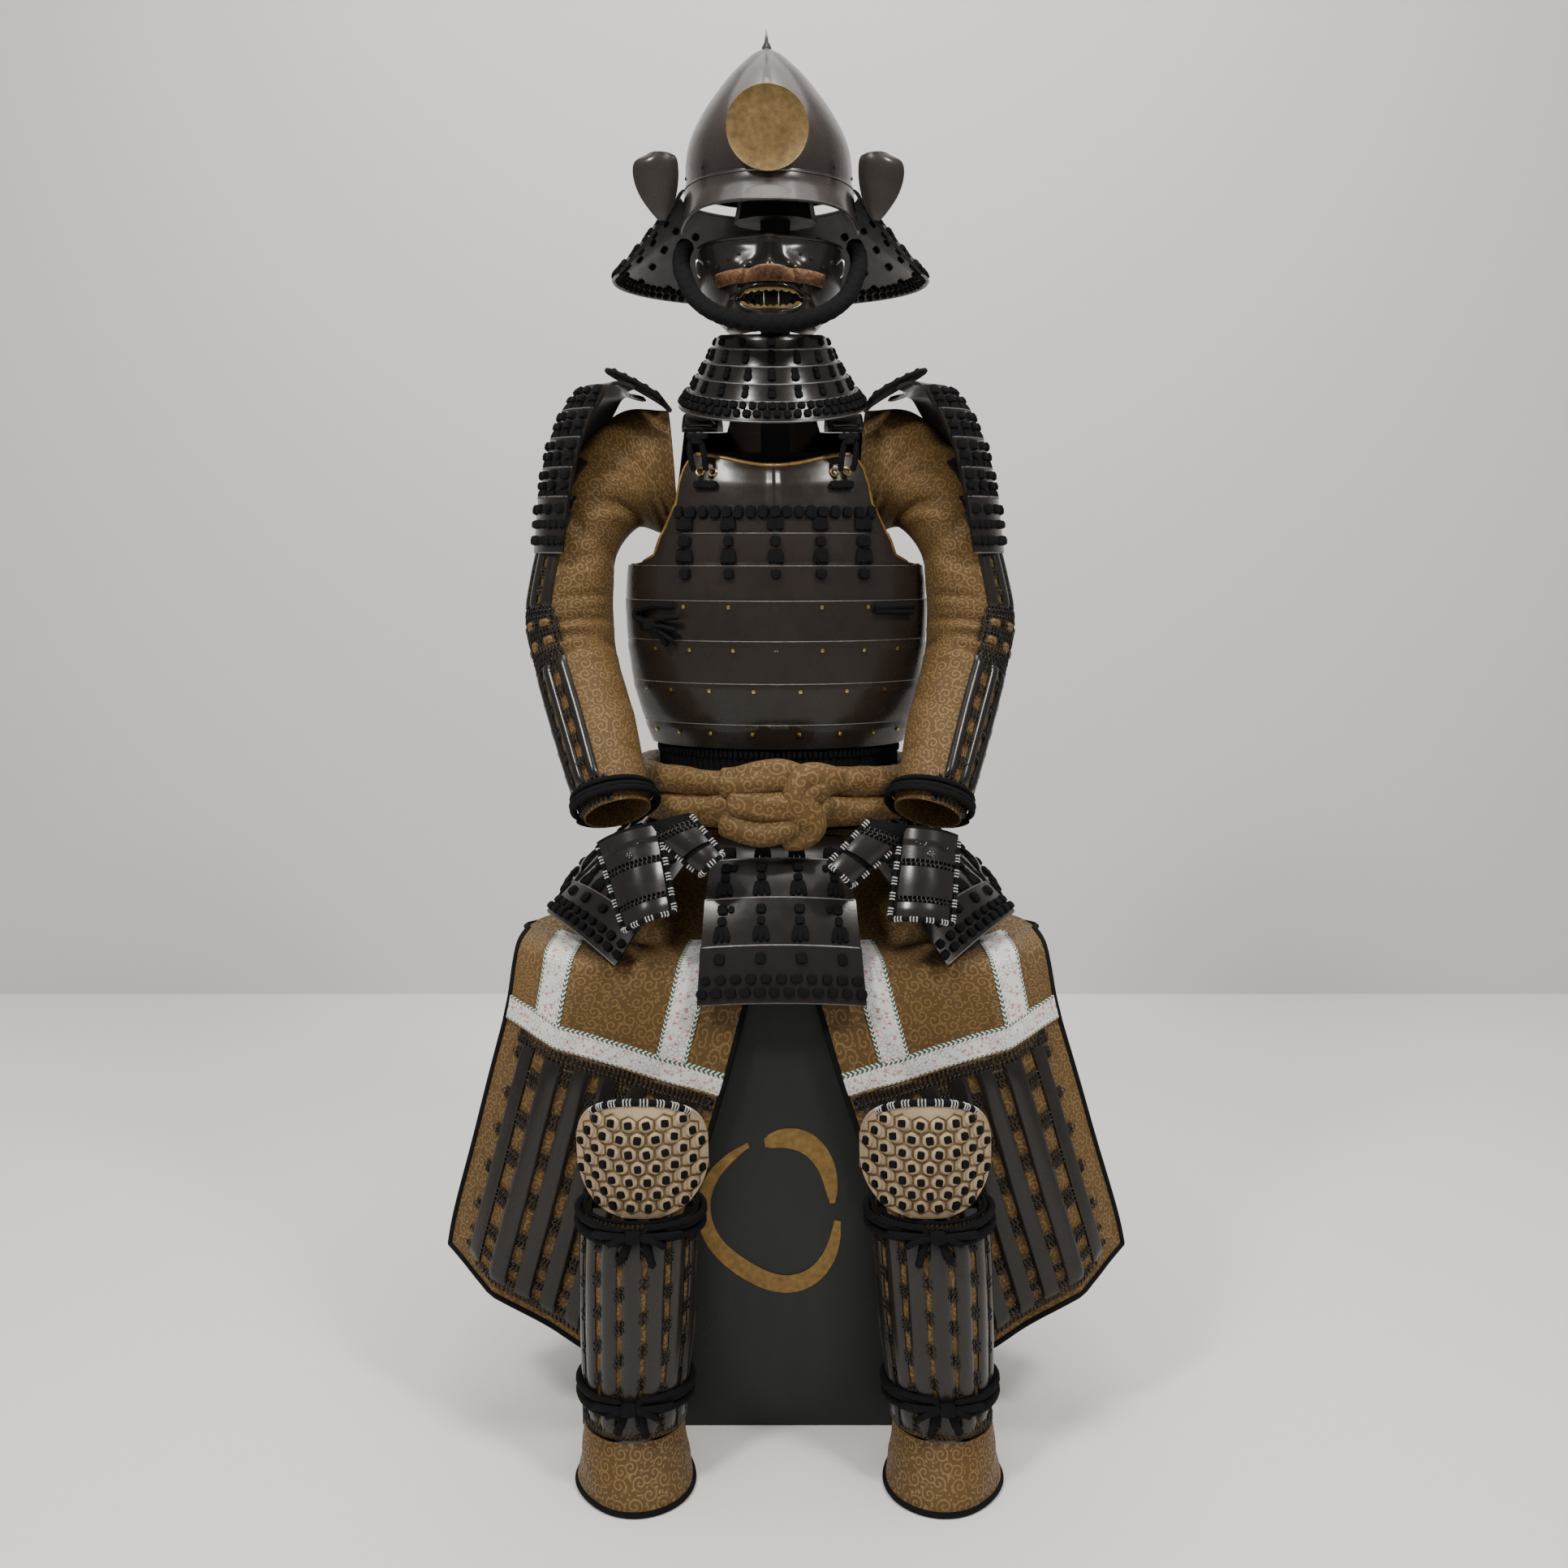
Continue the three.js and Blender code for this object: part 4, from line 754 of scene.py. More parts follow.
def bowl_push(s, t):
    keel = 1.3 * bell(np.minimum(np.mod(t, 72), 72 - np.mod(t, 72)), 0, 0.35) * smooth(s, 2,
        6) * (1 - smooth(s, 26, 27))
    seam = -0.7 * bell(s, 26.6, 0.18)
    return keel + seam


bowl = bowl_sheet()
bowl.push = bowl_push
top_spike = lathe([(0.2, 1579), (1.3, 1572), (2.4, 1565), (5.2, 1560), (6.0, 1557), (3.5, 1554), (0.2, 1553)],
    20, (0, HELMET_Y))
studs = bowl.axes(np.full(9, 27.6), np.linspace(10, 62, 9), 0.4)
piece("bowl", [
    (shell(bowl, (0, 29), (36, 108), 44, 112, (-2.6, 0.0)), HELMET_LACQUER),
    (top_spike, HELMET_LACQUER),
    (stamp(PEBBLE, studs, (2.0, 2.0, 1.2)), HELMET_LACQUER),
], "helmet_bowl")

VISOR = [(1404.5, 0, 0), (1392, 4, 0.15), (1380, 12, 0.6), (1368, 21, 1.0)]


def visor_sheet():
    angles = np.linspace(-98, 98, 57)
    rows = []
    for z, reach, dip in VISOR:
        side = np.abs(angles) / 78
        tip = np.exp(-(((side - 1) / 0.3) ** 2))
        out = reach * (1 - 0.55 * np.minimum(1, side**3))
        base = BOWL_W - 1
        rows.append(around(HELMET_Y, base + out * 0.75, base * DEEP + out, angles, z - dip * 15 * tip))
    return Sheet(rows)


visor = visor_sheet()
lip = visor.place(np.full(57, 3.0), np.arange(57.0), 1.2)
piece("visor", [
    (shell(visor, (0, 3), (0, 56), 12, 112, (0.2, 2.3)), HELMET_LACQUER),
    (tube(lip, 1.9, 8), HELMET_LACQUER),
    (tube(visor.place(np.full(57, 0.25), np.arange(57.0), 2.6), 0.9, 6), HELMET_LACQUER),
], "helmet_visor")


def neck_sheet():
    angles = np.linspace(180 - 111, 180 + 111, 45)
    rows = []
    for t in np.linspace(0, 1, 11):
        flare = t + 0.05 * math.sin(math.pi * t)
        rows.append(around(lerp(-20, -6, t), lerp(100, 180, t), lerp(121, 184, t), angles,
            lerp(1396, 1303, flare)))
    return Sheet(rows)


neck = neck_sheet()
neck_edges = [0, 2, 4, 6, 8, 10]
neck_parts = lames(neck, neck_edges, (0, 44), 5, 66, 2.2, 2.2, 1.0)
inner_face = shell(neck, (0.2, 9.9), (0.3, 43.7), 18, 60, (-0.5, 0.3))
neck_parts.append((inner_face, DARK_INSIDE))
for k in range(1, 5):
    cols = np.linspace(0.9, 43.1, 23)
    neck_parts.append(knots(neck, 2 * k + 0.45, cols, (4.2, 5.0, 3.2), 5.0))
    if k < 4:
        neck_parts.append(knots(neck, 2 * k + 1.35, cols, (4.6, 6.0, 3.0), 3.6))
    neck_parts.append(knots(neck, 2 * k + 0.45, cols[::2], (4.0, 4.6, 2.6), -1.6))
for row, cols in ((8.75, np.linspace(0.5, 43.5, 56)), (9.45, np.linspace(0.9, 43.1, 55))):
    neck_parts.append(knots(neck, row, cols, (4.4, 4.6, 3.4), 4.0))
    neck_parts.append(knots(neck, row, cols, (4.0, 4.2, 2.4), -1.4))
piece("neck_guard", merged(neck_parts), "helmet_neck_guard")

EARS = [(1427, 103, 133, -84), (1420, 101, 146, -83), (1405, 101, 147, -80), (1388, 104, 141, -77),
    (1372, 110, 130, -76), (1362, 116, 121, -75)]


def ear_sheet():
    rows = []
    for z, inner, outer, y in EARS:
        q = np.linspace(-1, 1, 9)
        x = lerp(inner, outer, (q + 1) / 2)
        rows.append(np.stack([x, y - 9 * (1 - q * q) * ((outer - inner) / 46),
            np.full(9, z) + (3.5 * (1 - q * q) if z == 1427 else 0)], -1))
    return Sheet(rows)


ear = ear_sheet()
ring = np.concatenate([
    ear.place(np.zeros(14), np.linspace(0.2, 7.8, 14), 1.2),
        ear.place(np.linspace(0.3, 5, 16), np.full(16, 8.0), 1.2),
    ear.place(np.linspace(5, 0.3, 16), np.full(16, 0.0), 1.2),
])
pair("ear", [(shell(ear, (0, 5), (0, 8), 24, 18, (0.0, 2.2)), HELMET_LACQUER),
    (tube(ring, 1.3, 6, closed=True), HELMET_LACQUER)], "helmet_ear")

tilt = math.radians(4)


def disc_place(v):
    v = np.array(v, float)
    y = v[:, 1] * math.cos(tilt) - v[:, 2] * math.sin(tilt)
    z = v[:, 1] * math.sin(tilt) + v[:, 2] * math.cos(tilt)
    return np.stack([v[:, 0], y - 149, z + 1443], -1)


def face_disc(radius, thick, count=72):
    profile = [(0.1, -thick / 2), (radius * 0.5, -thick / 2), (radius * 0.965, -thick / 2),
        (radius * 0.985, -thick / 2 - 0.5), (radius, -thick / 2), (radius, thick / 2),
        (radius * 0.5, thick / 2), (0.1, thick / 2)]
    a = np.linspace(0, 2 * np.pi, count + 1)
    pr = np.array(profile)
    v = np.stack([pr[:, :1] * np.sin(a), np.broadcast_to(pr[:, 1:], (len(pr), count + 1)),
        pr[:, :1] * np.cos(a)], -1)
    return disc_place(v.reshape(-1, 3)), lattice(len(pr) - 1, count), None


piece("front_disc", [(face_disc(44.3, 1.5), DULL_GOLD)], "helmet_disc")
hv, hf, _ = rounded_block(11.6, 6.6, 25.6, (0, 6.4, -22), 1.5)
prong = tube(np.array([(0, 5, -12), (0, 3.0, -4), (0, 2.4, 6), (0, 2.2, 14)], float), (3.2, 2.6, 2.2, 1.2), 8)
piece("holder", [((disc_place(hv), hf, None), HELMET_LACQUER),
    ((disc_place(prong[0]), prong[1], None), HELMET_LACQUER)], "disc_holder")

# ------------------------------------------------------------------ mask, chin cord and throat guard

MASK = [(1335, 81, 90), (1320, 82, 94), (1303, 82, 97), (1292, 80, 98), (1281, 77, 98), (1262, 67, 96),
    (1248, 54, 92), (1237, 42, 84)]
MOUTH = {"z": 1270.0, "half": 37.0, "up": 11.5, "down": 10.5}


def mask_point(angle, z):
    """The mask's outer face: brow edge, nose, cheeks, the folds beside the mouth, lips and chin."""
    hw, hd = column(MASK, 1, z), column(MASK, 2, z)
    p = around(-35, hw, hd, angle, z)
    x = p[..., 0]
    nose = 23 * np.exp(-((x / (7.5 + 5 * smooth(1320 - z, 0, 22))) ** 2)) * (
        smooth(z, 1289, 1301) * (1 - 0.55 * smooth(z, 1303, 1338)))
    wing = 9 * (bell(np.abs(x), 12, 6) * bell(z, 1301, 7))
    cheek = 6.5 * bell(np.abs(x), 44, 17) * bell(z, 1309, 14)
    fold = -4.0 * bell(np.abs(x) - (23 + (1300 - z) * 0.55), 0, 3.6) * smooth(z, 1256,
        1268) * (1 - smooth(z, 1300, 1310))
    ridge = 3.2 * bell(np.abs(x) - (29 + (1300 - z) * 0.55), 0, 4.5) * smooth(z, 1250,
        1266) * (1 - smooth(z, 1302, 1312))
    rim = np.sqrt((x / (MOUTH["half"] + 2)) ** 2 + ((z - MOUTH["z"]) / 15.0) ** 2)
    lips = 4.2 * bell(rim, 1.0, 0.16)
    chin = 7.5 * bell(x, 0, 21) * bell(z, 1247, 9) + 3 * bell(np.abs(x), 16, 8) * bell(z, 1246, 8)
    under = 5 * bell(z, 1334, 5)
    p[..., 1] -= nose + wing + cheek + fold + ridge + lips + chin
    p[..., 1] += -under * 0.4
    return p


def mouth_line(x, up):
    q = np.clip(np.abs(x) / MOUTH["half"], 0, 1)
    wide = np.sqrt(np.clip(1 - q**2.4, 0, 1))
    return MOUTH["z"] + (MOUTH["up"] if up else -MOUTH["down"]) * wide


def mask_half(up, n, m=90):
    angles = np.linspace(-85, 85, m + 1)
    x = column(MASK, 1, 1270) * np.sin(np.radians(angles))
    edge = mouth_line(x, up)
    far = 1335.0 if up else 1237.0
    t = np.linspace(0, 1, n + 1)[:, None]
    z = lerp(far, edge[None], t) if up else lerp(edge[None], far, t)
    a = np.broadcast_to(angles[None], z.shape)
    outer = mask_point(a, z)
    inner = outer.copy()
    inner[..., 0] *= 0.972
    inner[..., 1] += 2.6
    return closed_grid(outer, inner)


def mask_line(angles, zs, out):
    p = mask_point(np.asarray(angles, float), np.asarray(zs, float))
    d = p - np.array([0, -35, 0])
    d[..., 2] = 0
    return p + unit(d) * out


teeth = []
for up in (True, False):
    x = np.linspace(-35, 35, 64)
    a = np.degrees(np.arcsin(x / column(MASK, 1, 1270)))
    edge = mouth_line(x, up)
    bite = 2.2 * np.abs(np.sin(np.linspace(0, 9 * np.pi, 64)))
    rows = []
    for k in (0.0, 1.0):
        z = edge + (-1 if up else 1) * (k * (3.2 + bite)) + (1.5 if up else -1.5)
        rows.append(mask_line(a, edge, -3.0) * np.array([1, 1, 0]) + np.stack([0 * z, 0 * z, z], -1))
    outer = np.array(rows) if up else np.array(rows[::-1])
    teeth.append((closed_grid(outer, outer + np.array([0, 1.6, 0])), BRASS if up else GOLD))
pegs = []
for x in (-7, 9):
    y0 = mask_line([x * 0.75], [1270], -4)[0, 1]
    pegs.append((tube(np.array([(x, y0, 1281), (x, y0 - 1, 1270), (x, y0, 1259)], float), 0.8, 6), PEG_BONE))
face = [(mask_half(True, 46), LACQUER), (mask_half(False, 26), LACQUER)]
for side in (-1, 1):
    a = side * np.array([24.0, 33.0, 44.0])
    pts = mask_line(a, np.array([1318.0, 1313.0, 1306.0]), 1.0)
    n = unit(pts - np.array([0, -35, 0]) * 1.0 - pts * np.array([0, 0, 1]))
    right = unit(np.cross(np.tile([0, 0, -1.0], (3, 1)), n) * -1)
    face.append((stamp(PEBBLE, (pts, right, np.cross(right, n), n), (2.1, 2.1, 1.6)), LACQUER))
    hook = mask_line(side * np.linspace(62, 66, 8),
        np.array([1312, 1316, 1318, 1316, 1310, 1304, 1300, 1302.0]),
        np.array([1, 4, 7, 9, 9, 8, 5, 2.0])[:, None])
    face.append((tube(hook, 1.3, 6), SILVER))
face.append((tube(mask_line(np.linspace(-85, 85, 80), np.full(80, 1335.0), 0.4), 1.8, 6), LACQUER))
face += teeth + pegs
piece("face_mask", face, "mask")

hairs = 1700
ha = rng.uniform(-46, 46, hairs)
hz = lerp(1288.5, 1298.5, rng.uniform(0, 1, hairs)) + 2.4 * np.cos(np.radians(ha * 2.2)) - 1.5
root = mask_line(ha, hz, 0.5)
out_dir = unit(np.stack([np.sin(np.radians(ha)), -np.cos(np.radians(ha)), np.zeros(hairs)], -1))
fall = unit(out_dir * 0.9 + np.stack([np.sign(ha) * rng.uniform(0.0, 0.5, hairs), np.zeros(hairs),
    rng.uniform(-0.75, 0.25, hairs)], -1))
side_dir = unit(np.cross(fall, np.array([0, 0, 1.0])))
long = rng.uniform(4.5, 8.5, hairs)[:, None]
tipv, tipf = np.array([(-1, 0, 0), (1, 0, 0), (0, 1, 0), (0, 0.2, 1)],
    float), np.array([(0, 1, 3), (1, 2, 3), (2, 0, 3), (0, 2, 1)])
hair = stamp((tipv, tipf), (root, side_dir, np.cross(fall, side_dir), fall),
    np.concatenate([np.full((hairs, 2), 0.55), long], 1))
band_a = np.linspace(-47, 47, 61)
band = []
for k in np.linspace(0, 1, 9):
    z = lerp(1301.0, 1286.5, k) + 2.4 * np.cos(np.radians(band_a * 2.2)) - 1.5
    band.append(mask_line(band_a, z, (1.0 + 5.0 * math.sin(math.pi * min(max(k, 0.02), 0.98)) ** 0.6) * (
        1 - 0.75 * (np.abs(band_a) / 47) ** 5)[:, None]))
band = np.array(band)
band_in = band.copy()
band_in[..., 1] += 6.5
piece("moustache", [(closed_grid(band, band_in), BRISTLE), (hair, BRISTLE)], "mask_moustache")

CHIN = [(-95, -40, 1341), (-99, -58, 1326), (-97, -85, 1305), (-82, -115, 1272), (-50, -143, 1249),
    (0, -156, 1240),
        (50, -143, 1249), (82, -115, 1272), (97, -85, 1305), (99, -58, 1326), (95, -40, 1341)]


def cord_piece(name, points, radius, node, flip=False, shift=0.0, count=80, strands=3, pitch=18.0, extra=(),
        depth=0.22, sides=12):
    """A cord as its own piece, with its knot, ends and doublings as a second one."""
    path = smooth_path(points, count)
    obj = piece(name, [(tube(path, radius, sides, strands, pitch, depth), SILK)], node, flip, shift)
    world = path * np.array([-1.0 if flip else 1.0, 1, 1])
    world = leaned(world, shift) * 0.001
    tied = [piece(name + "_knot", list(extra), (), flip, shift)] if extra else []
    tuple(world[0])
    return obj


cord_piece("chin_rope", CHIN, 10.0, "chin_cord", count=150, strands=4, pitch=26.0, depth=0.30, sides=20)


def throat_sheet():
    angles = np.linspace(-104, 104, 41)
    rows = []
    for t in np.linspace(0, 1, 11):
        rise = lerp(6, 25, t) * (1 - np.cos(np.radians(angles)))
        bend = 0.06 * math.sin(math.pi * t)
        rows.append(around(-45, lerp(57, 105, t - bend), lerp(62, 96, t - bend), angles,
            lerp(1234, 1137, t) + rise))
    return Sheet(rows)


throat = throat_sheet()
parts = lames(throat, [0, 2, 4, 6, 8, 10], (0, 40), 5, 70, 2.4, 2.2, 1.0)
parts.append((shell(throat, (0.2, 9.9), (0.3, 39.7), 14, 50, (-0.3, 0.4)), DARK_INSIDE))
for k, count in ((0, 7), (1, 9), (2, 11), (3, 11)):
    cols = 20 + (np.arange(count) - (count - 1) / 2) * (40 / count)
    parts.append(knots(throat, 2 * k + 1.0, cols, (4.6, 5.0, 3.2), 3.6))
    if k:
        parts.append(knots(throat, 2 * k + 0.35, cols, (4.2, 3.6, 2.8), 4.6))
for row, count, off in ((8.35, 33, 0), (9.25, 32, 0.6)):
    parts.append(knots(throat, row, np.linspace(0.6 + off, 39.4 - off, count), (4.6, 4.8, 3.6), 4.2))
piece("throat_lames", merged(parts), "throat_guard")

# ------------------------------------------------------------------ cuirass

FRONT = [(1106, 150, 102, 88, 13), (1095, 154, 106, 99, 8), (1075, 160, 112, 106, 2),
    (1050, 165, 116, 111, 0), (1030, 168, 119, 121, 0),
         (1010, 171, 122, 131, 0), (992, 173, 124, 138, 0), (986, 174, 124, 152, 0), (982, 174, 125, 171, 0),
         (950, 177, 127, 177, 0),
         (900, 177, 127, 177, 0), (850, 172, 124, 172, 0), (810, 162, 118, 162, 0), (775, 150, 110, 150, 0)]
BACK = [(1168, 138, 90, 50, 0), (1141, 142, 94, 57, 0), (1140, 142, 94, 108, 0), (1100, 152, 102, 114, 0),
    (1050, 165, 108, 122, 0),
        (1000, 172, 113, 138, 0), (986, 174, 114, 152, 0), (982, 174, 114, 171, 0), (950, 177, 115, 177, 0),
        (900, 177, 114, 177, 0),
        (850, 172, 112, 172, 0), (810, 162, 108, 162, 0), (775, 150, 102, 150, 0)]


def chest_grid(sections, turn, zs, m, groove, ridge, inset=0.0):
    """Points of a body plate at these heights: its edge follows the table, its face has lame steps and a ridge."""
    rows = []
    q = np.linspace(-1, 1, m + 1)
    for z in zs:
        hw, hd, edge, sag = (float(column(sections, k, z)) for k in (1, 2, 3, 4))
        reach = np.degrees(np.arcsin(min(edge / hw, math.sin(math.radians(89)))))
        zz = z - sag * np.cos(np.pi / 2 * q) ** 2
        p = around(0, hw - inset, hd - inset, reach * q, zz)
        step = groove(z, p[:, 0]) if groove else 0
        keel = ridge * bell(p[:, 0], 0, 5.0) if ridge else 0
        n = unit(p * np.array([1 / hw**2, 1 / hd**2, 0]))
        p = p + n * (np.asarray(step) + keel)[:, None] if groove else p
        rows.append(p * np.array([turn, turn, 1]))
    return np.array(rows)


LAME_LINES = [1048, 1018, 982, 943, 898, 850, 803]


def lame_step(z, x):
    """Each lame of the plate stands out at its top edge, over the one above."""
    z = z + 0.10 * np.abs(x) * (z < 935) * 0.35
    out = np.zeros_like(x)
    edges = LAME_LINES + [770]
    for top, low in zip(edges[:-1], edges[1:]):
        inside = (z <= top) & (z > low)
        out = np.where(inside, 1.3 * (z - low) / (top - low), out)
    return out


def heights(top, bottom, lines, step=4.0):
    base = list(np.arange(top, bottom, -step)) + [bottom]
    for line in lines:
        base += [line + 0.6, line - 0.2]
    return sorted(set(np.round(base, 2)), reverse=True)


zs = heights(1106, 775, LAME_LINES + [986, 982])
front_grid = chest_grid(FRONT, 1, zs, 72, lame_step, 2.6)
front_inner = chest_grid(FRONT, 1, zs, 72, None, 0, 2.6)
front = Sheet(chest_grid(FRONT, 1, np.linspace(1106, 775, 60), 24, None, 0))


def front_at(z, x):
    """Rows and columns of the front sheet for a height and a distance across."""
    z, x = np.broadcast_arrays(np.asarray(z, float), np.asarray(x, float))
    hw, edge = column(FRONT, 1, z), column(FRONT, 3, z)
    reach = np.arcsin(np.minimum(edge / hw, math.sin(math.radians(89))))
    q = np.arcsin(np.clip(x / hw, -1, 1)) / reach
    return (1106 - z) / (1106 - 775) * 59, (q + 1) / 2 * 24


body = [(closed_grid(front_grid, front_inner), PLATE_LACQUER)]
side_rows = [i for i, z in enumerate(zs) if z >= 984]
for line in (front_grid[side_rows, 0], front_grid[side_rows, -1]):
    body.append((tube(line[::2] if len(line) > 30 else line, 1.7, 8), GOLD))
body.append((tube(front_grid[0], 2.3, 10), GOLD))
cut_row = len(side_rows)
for line in (front_grid[cut_row, :5], front_grid[cut_row, -5:]):
    body.append((tube(line, 1.7, 8), GOLD))
# thin pale tubes along the lame lines: painted highlights on the lame edges
for line_z in LAME_LINES:
    if line_z == 1048:
        continue
    i = min(range(len(zs)), key=lambda k: abs(zs[k] - (line_z - 0.2)))
    span = slice(8, -8) if line_z > 960 else slice(3, -3)
    body.append((tube(front_grid[i, span] + np.array([0, -0.1, 0]), 0.55, 5), RIM_HIGHLIGHT))
for z, xs in ((936, [-103, -52, 0, 51, 103]), (888, [-137, -97, -48, 0, 51, 98, 137]),
        (842, [-150, -120, -76, -26, 26, 78, 122]),
              (793, [-140, -112, -76, -28, 24, 70, 108, 138])):
    s, t = front_at(np.full(len(xs), float(z)), np.array(xs, float))
    body.append((stamp(PEBBLE, front.axes(s, t, 1.6), (2.5, 2.5, 2.0)), BRASS))
s, t = front_at(1041, np.linspace(-106, 108, 17))
body.append(knots(front, s, t, (6.3, 7.6, 4.0), 3.0))
for line_z in (1018, 982):
    for x, wide in ((-100, 23), (-51, 19), (1, 20), (51, 19), (99, 23)):
        s, t = front_at(line_z + 10.5, x)
        body += brushes(front, s, t, 18, wide, 5, 2.2, 0.10)
        s, t = front_at(line_z - 9, x)
        body.append(knots(front, s, t, (8.2 if abs(x) > 90 else 6.0, 6.6, 4.2), 3.4))
for side in (-1, 1):
    for x in (68, 82):
        s, t = front_at(1087.0, side * x)
        o, r, d, n = (a.reshape(3) for a in front.axes(s, t, 1.0))
        a = np.linspace(0, 2 * np.pi, 21)[:-1]
        body.append((tube(o + 4.4 * (np.cos(a)[:, None] * r + np.sin(a)[:, None] * d), 1.4, 6, closed=True),
            BRASS))
    s, t = front_at(np.full(3, 1071.5), side * np.array([68, 75, 82.0]))
    body.append((stamp(PEBBLE, front.axes(s, t, 4.0), (7.5, 5.0, 4.4)), SILK))
piece("front_plate", merged(body), "cuirass_front")

back_z = heights(1168, 775, [1141, 1140, 986, 982] + LAME_LINES[2:], 6.0)
back_grid = chest_grid(BACK, -1, back_z, 72, lame_step, 0)
back_inner = chest_grid(BACK, -1, back_z, 72, None, 0, 2.6)
rear = [(closed_grid(back_grid, back_inner), PLATE_LACQUER), (tube(back_grid[0], 1.9, 8), GOLD)]
back = Sheet(chest_grid(BACK, -1, np.linspace(1138, 775, 50), 24, None, 0))
# thin pale tubes along the lame lines: painted highlights on the lame edges
for line_z in LAME_LINES[2:]:
    i = min(range(len(back_z)), key=lambda k: abs(back_z[k] - (line_z - 0.2)))
    rear.append((tube(back_grid[i, 4:-4], 0.55, 5), RIM_HIGHLIGHT))
for z in (1040, 1008, 936, 888, 842, 793):
    row = np.full(7, (1138 - z) / (1138 - 775) * 49)
    cols = np.linspace(4, 20, 7)
    if z > 1000:
        rear.append(knots(back, row, cols, (6.2, 6.6, 4.0), 3.2))
        rear += brushes(back, row - 1.7, cols, 16, 18, 4, 2.4)
    else:
        rear.append((stamp(PEBBLE, back.axes(row, cols, 1.6), (2.5, 2.5, 2.0)), BRASS))
piece("back_plate", merged(rear), "cuirass_back")

STRAP = [(104, 1143), (60, 1150), (0, 1152), (-50, 1146), (-86, 1130)]
strap = Sheet([[(x, y, z) for x in (62.0, 82.0, 102.0)] for y, z in STRAP])
bumps = [(shell(strap, (0, 4), (0, 2), 24, 10, (0.0, 4.0), lambda s, t: 1.2 * (1 - (t - 1) ** 4)),
    DARK_LEATHER)]
for t in (0.06, 1.94):
    bumps.append((tube(strap.place(np.linspace(0, 4, 30), np.full(30, t), 3.6), 1.6, 8), SILK))
bumps.append((tube(strap.place(np.full(8, 4.0), np.linspace(0, 2, 8), 2.4), 1.8, 8), SILK))
toggle = strap.place(np.full(9, 3.86), np.linspace(0.1, 1.9, 9), 7.5)
bumps.append((tube(toggle, np.array([3.4, 4.6, 4.2, 3.6, 3.4, 3.6, 4.2, 4.6, 3.4]), 10), LACQUER))
pair("strap", bumps, "shoulder_strap")

TOGGLE = [(75, -106, 1086), (76, -112, 1100), (80, -113, 1118), (88, -110, 1126), (92, -112, 1113),
    (91, -110, 1098), (88, -105, 1086)]
for side in ("left", "right"):
    knot = [(stamp(PEBBLE, (np.array([(84, -114, 1119), (79, -115, 1124), (89, -113, 1124.0)]),
        np.tile([1.0, 0, 0], (3, 1)),
                            np.tile([0, 0, -1.0], (3, 1)), np.tile([0, -1.0, 0], (3, 1))), (7.5, 4.2, 4.2)),
                                SILK)]
    cord_piece(f"toggle_cord_{side}", TOGGLE, 3.5, f"toggle_tie_{side}", side == "right", count=50, pitch=9,
        extra=knot)
SIDE = {"left": [(112, -105, 935), (138, -86, 936), (158, -66, 935)],
        "right": [(-116, -105, 936), (-138, -87, 937), (-158, -68, 931), (-160, -67, 922), (-141, -87, 914),
            (-122, -103, 892)]}
for side, points in SIDE.items():
    ends = []
    if side == "right":
        for a, b in (((-140, -89, 914), (-112, -111, 910)), ((-140, -89, 912), (-116, -108, 897)),
                ((-136, -91, 920), (-108, -113, 925))):
            ends.append((tube(smooth_path([a, (np.array(a) + b) / 2 + (0, -3, 1), b], 14), 3.2, 8, 3, 8.0),
                SILK))
        ends.append((stamp(PEBBLE, (np.array([(-143, -88, 916.0)]), np.array([[1.0, 0, 0]]),
            np.array([[0, 0, -1.0]]), np.array([[0, -1.0, 0]])), (9, 7, 6)), SILK))
    else:
        ends.append((tube(smooth_path([(112, -106, 931), (136, -89, 930), (158, -69, 929)], 20), 3.6, 8, 3,
            9.0), SILK))
    cord_piece(f"side_cord_{side}", points, 4.5, f"side_tie_{side}", count=40, pitch=10, extra=ends)

# ------------------------------------------------------------------ waist lacing, sash and tassets

WAIST_W, WAIST_D, WAIST_TOP, WAIST_LOW = 138.0, 102.0, 774.6, 684.0
turns = np.arange(216) * (360 / 216)
waist = Sheet([around(0, WAIST_W, WAIST_D, turns, z) for z in np.linspace(WAIST_TOP, WAIST_LOW, 4)],
    closed=True)


def cord_ribs(s, t):
    return -1.6 + 1.6 * np.abs(np.cos(np.pi * t / 2)) ** 0.6


lacing = [(shell(waist, (0, 3), (0, 216), 3, 864, (0.3, 4.6), cord_ribs), SILK)]
tops = np.arange(0, 216, 1.5)
lacing.append(knots(waist, 0.22, tops, (2.6, 5.5, 2.6), 4.4))
piece("waist_cords", lacing, "waist_lacing")

ROLLS = [(737, 165, 128, 18, 19), (707, 167, 133, 19, 20)]


def sash_roll(z0, hw, hd, thick, high, phase):
    """One strand of the sash: a soft roll with slanting folds that run round it."""
    n, m = 200, 30
    angle = np.linspace(0, 360, n + 1)[:, None]
    turn = np.radians(np.linspace(0, 360, m + 1))[None]
    fold = np.zeros((n + 1, m + 1))
    for k, (count, lean_by, deep, wide) in enumerate(
            ((5, 1.0, 0.13, 0.5), (8, -2.0, 0.08, 0.35), (13, 2.0, 0.045, 0.3))):
        wave = np.cos(np.radians(angle * count) + lean_by * turn + phase + k)
        fold -= deep * np.exp(-((1 - wave) / wide) ** 2)
    side = 1 + 0.05 * np.sin(np.radians(3 * angle) + phase)
    r = (1 + fold) * side
    out = thick * np.cos(turn) * r * 0.97
    z = z0 + high * np.sin(turn) * r * 0.97
    v = around(0, hw + out, hd + out, angle + 0 * turn, z)
    return v.reshape(-1, 3), lattice(n, m), measure(np.swapaxes(v, 0, 1)).reshape(m + 1, n + 1, 2).swapaxes(0,
        1).reshape(-1, 2)


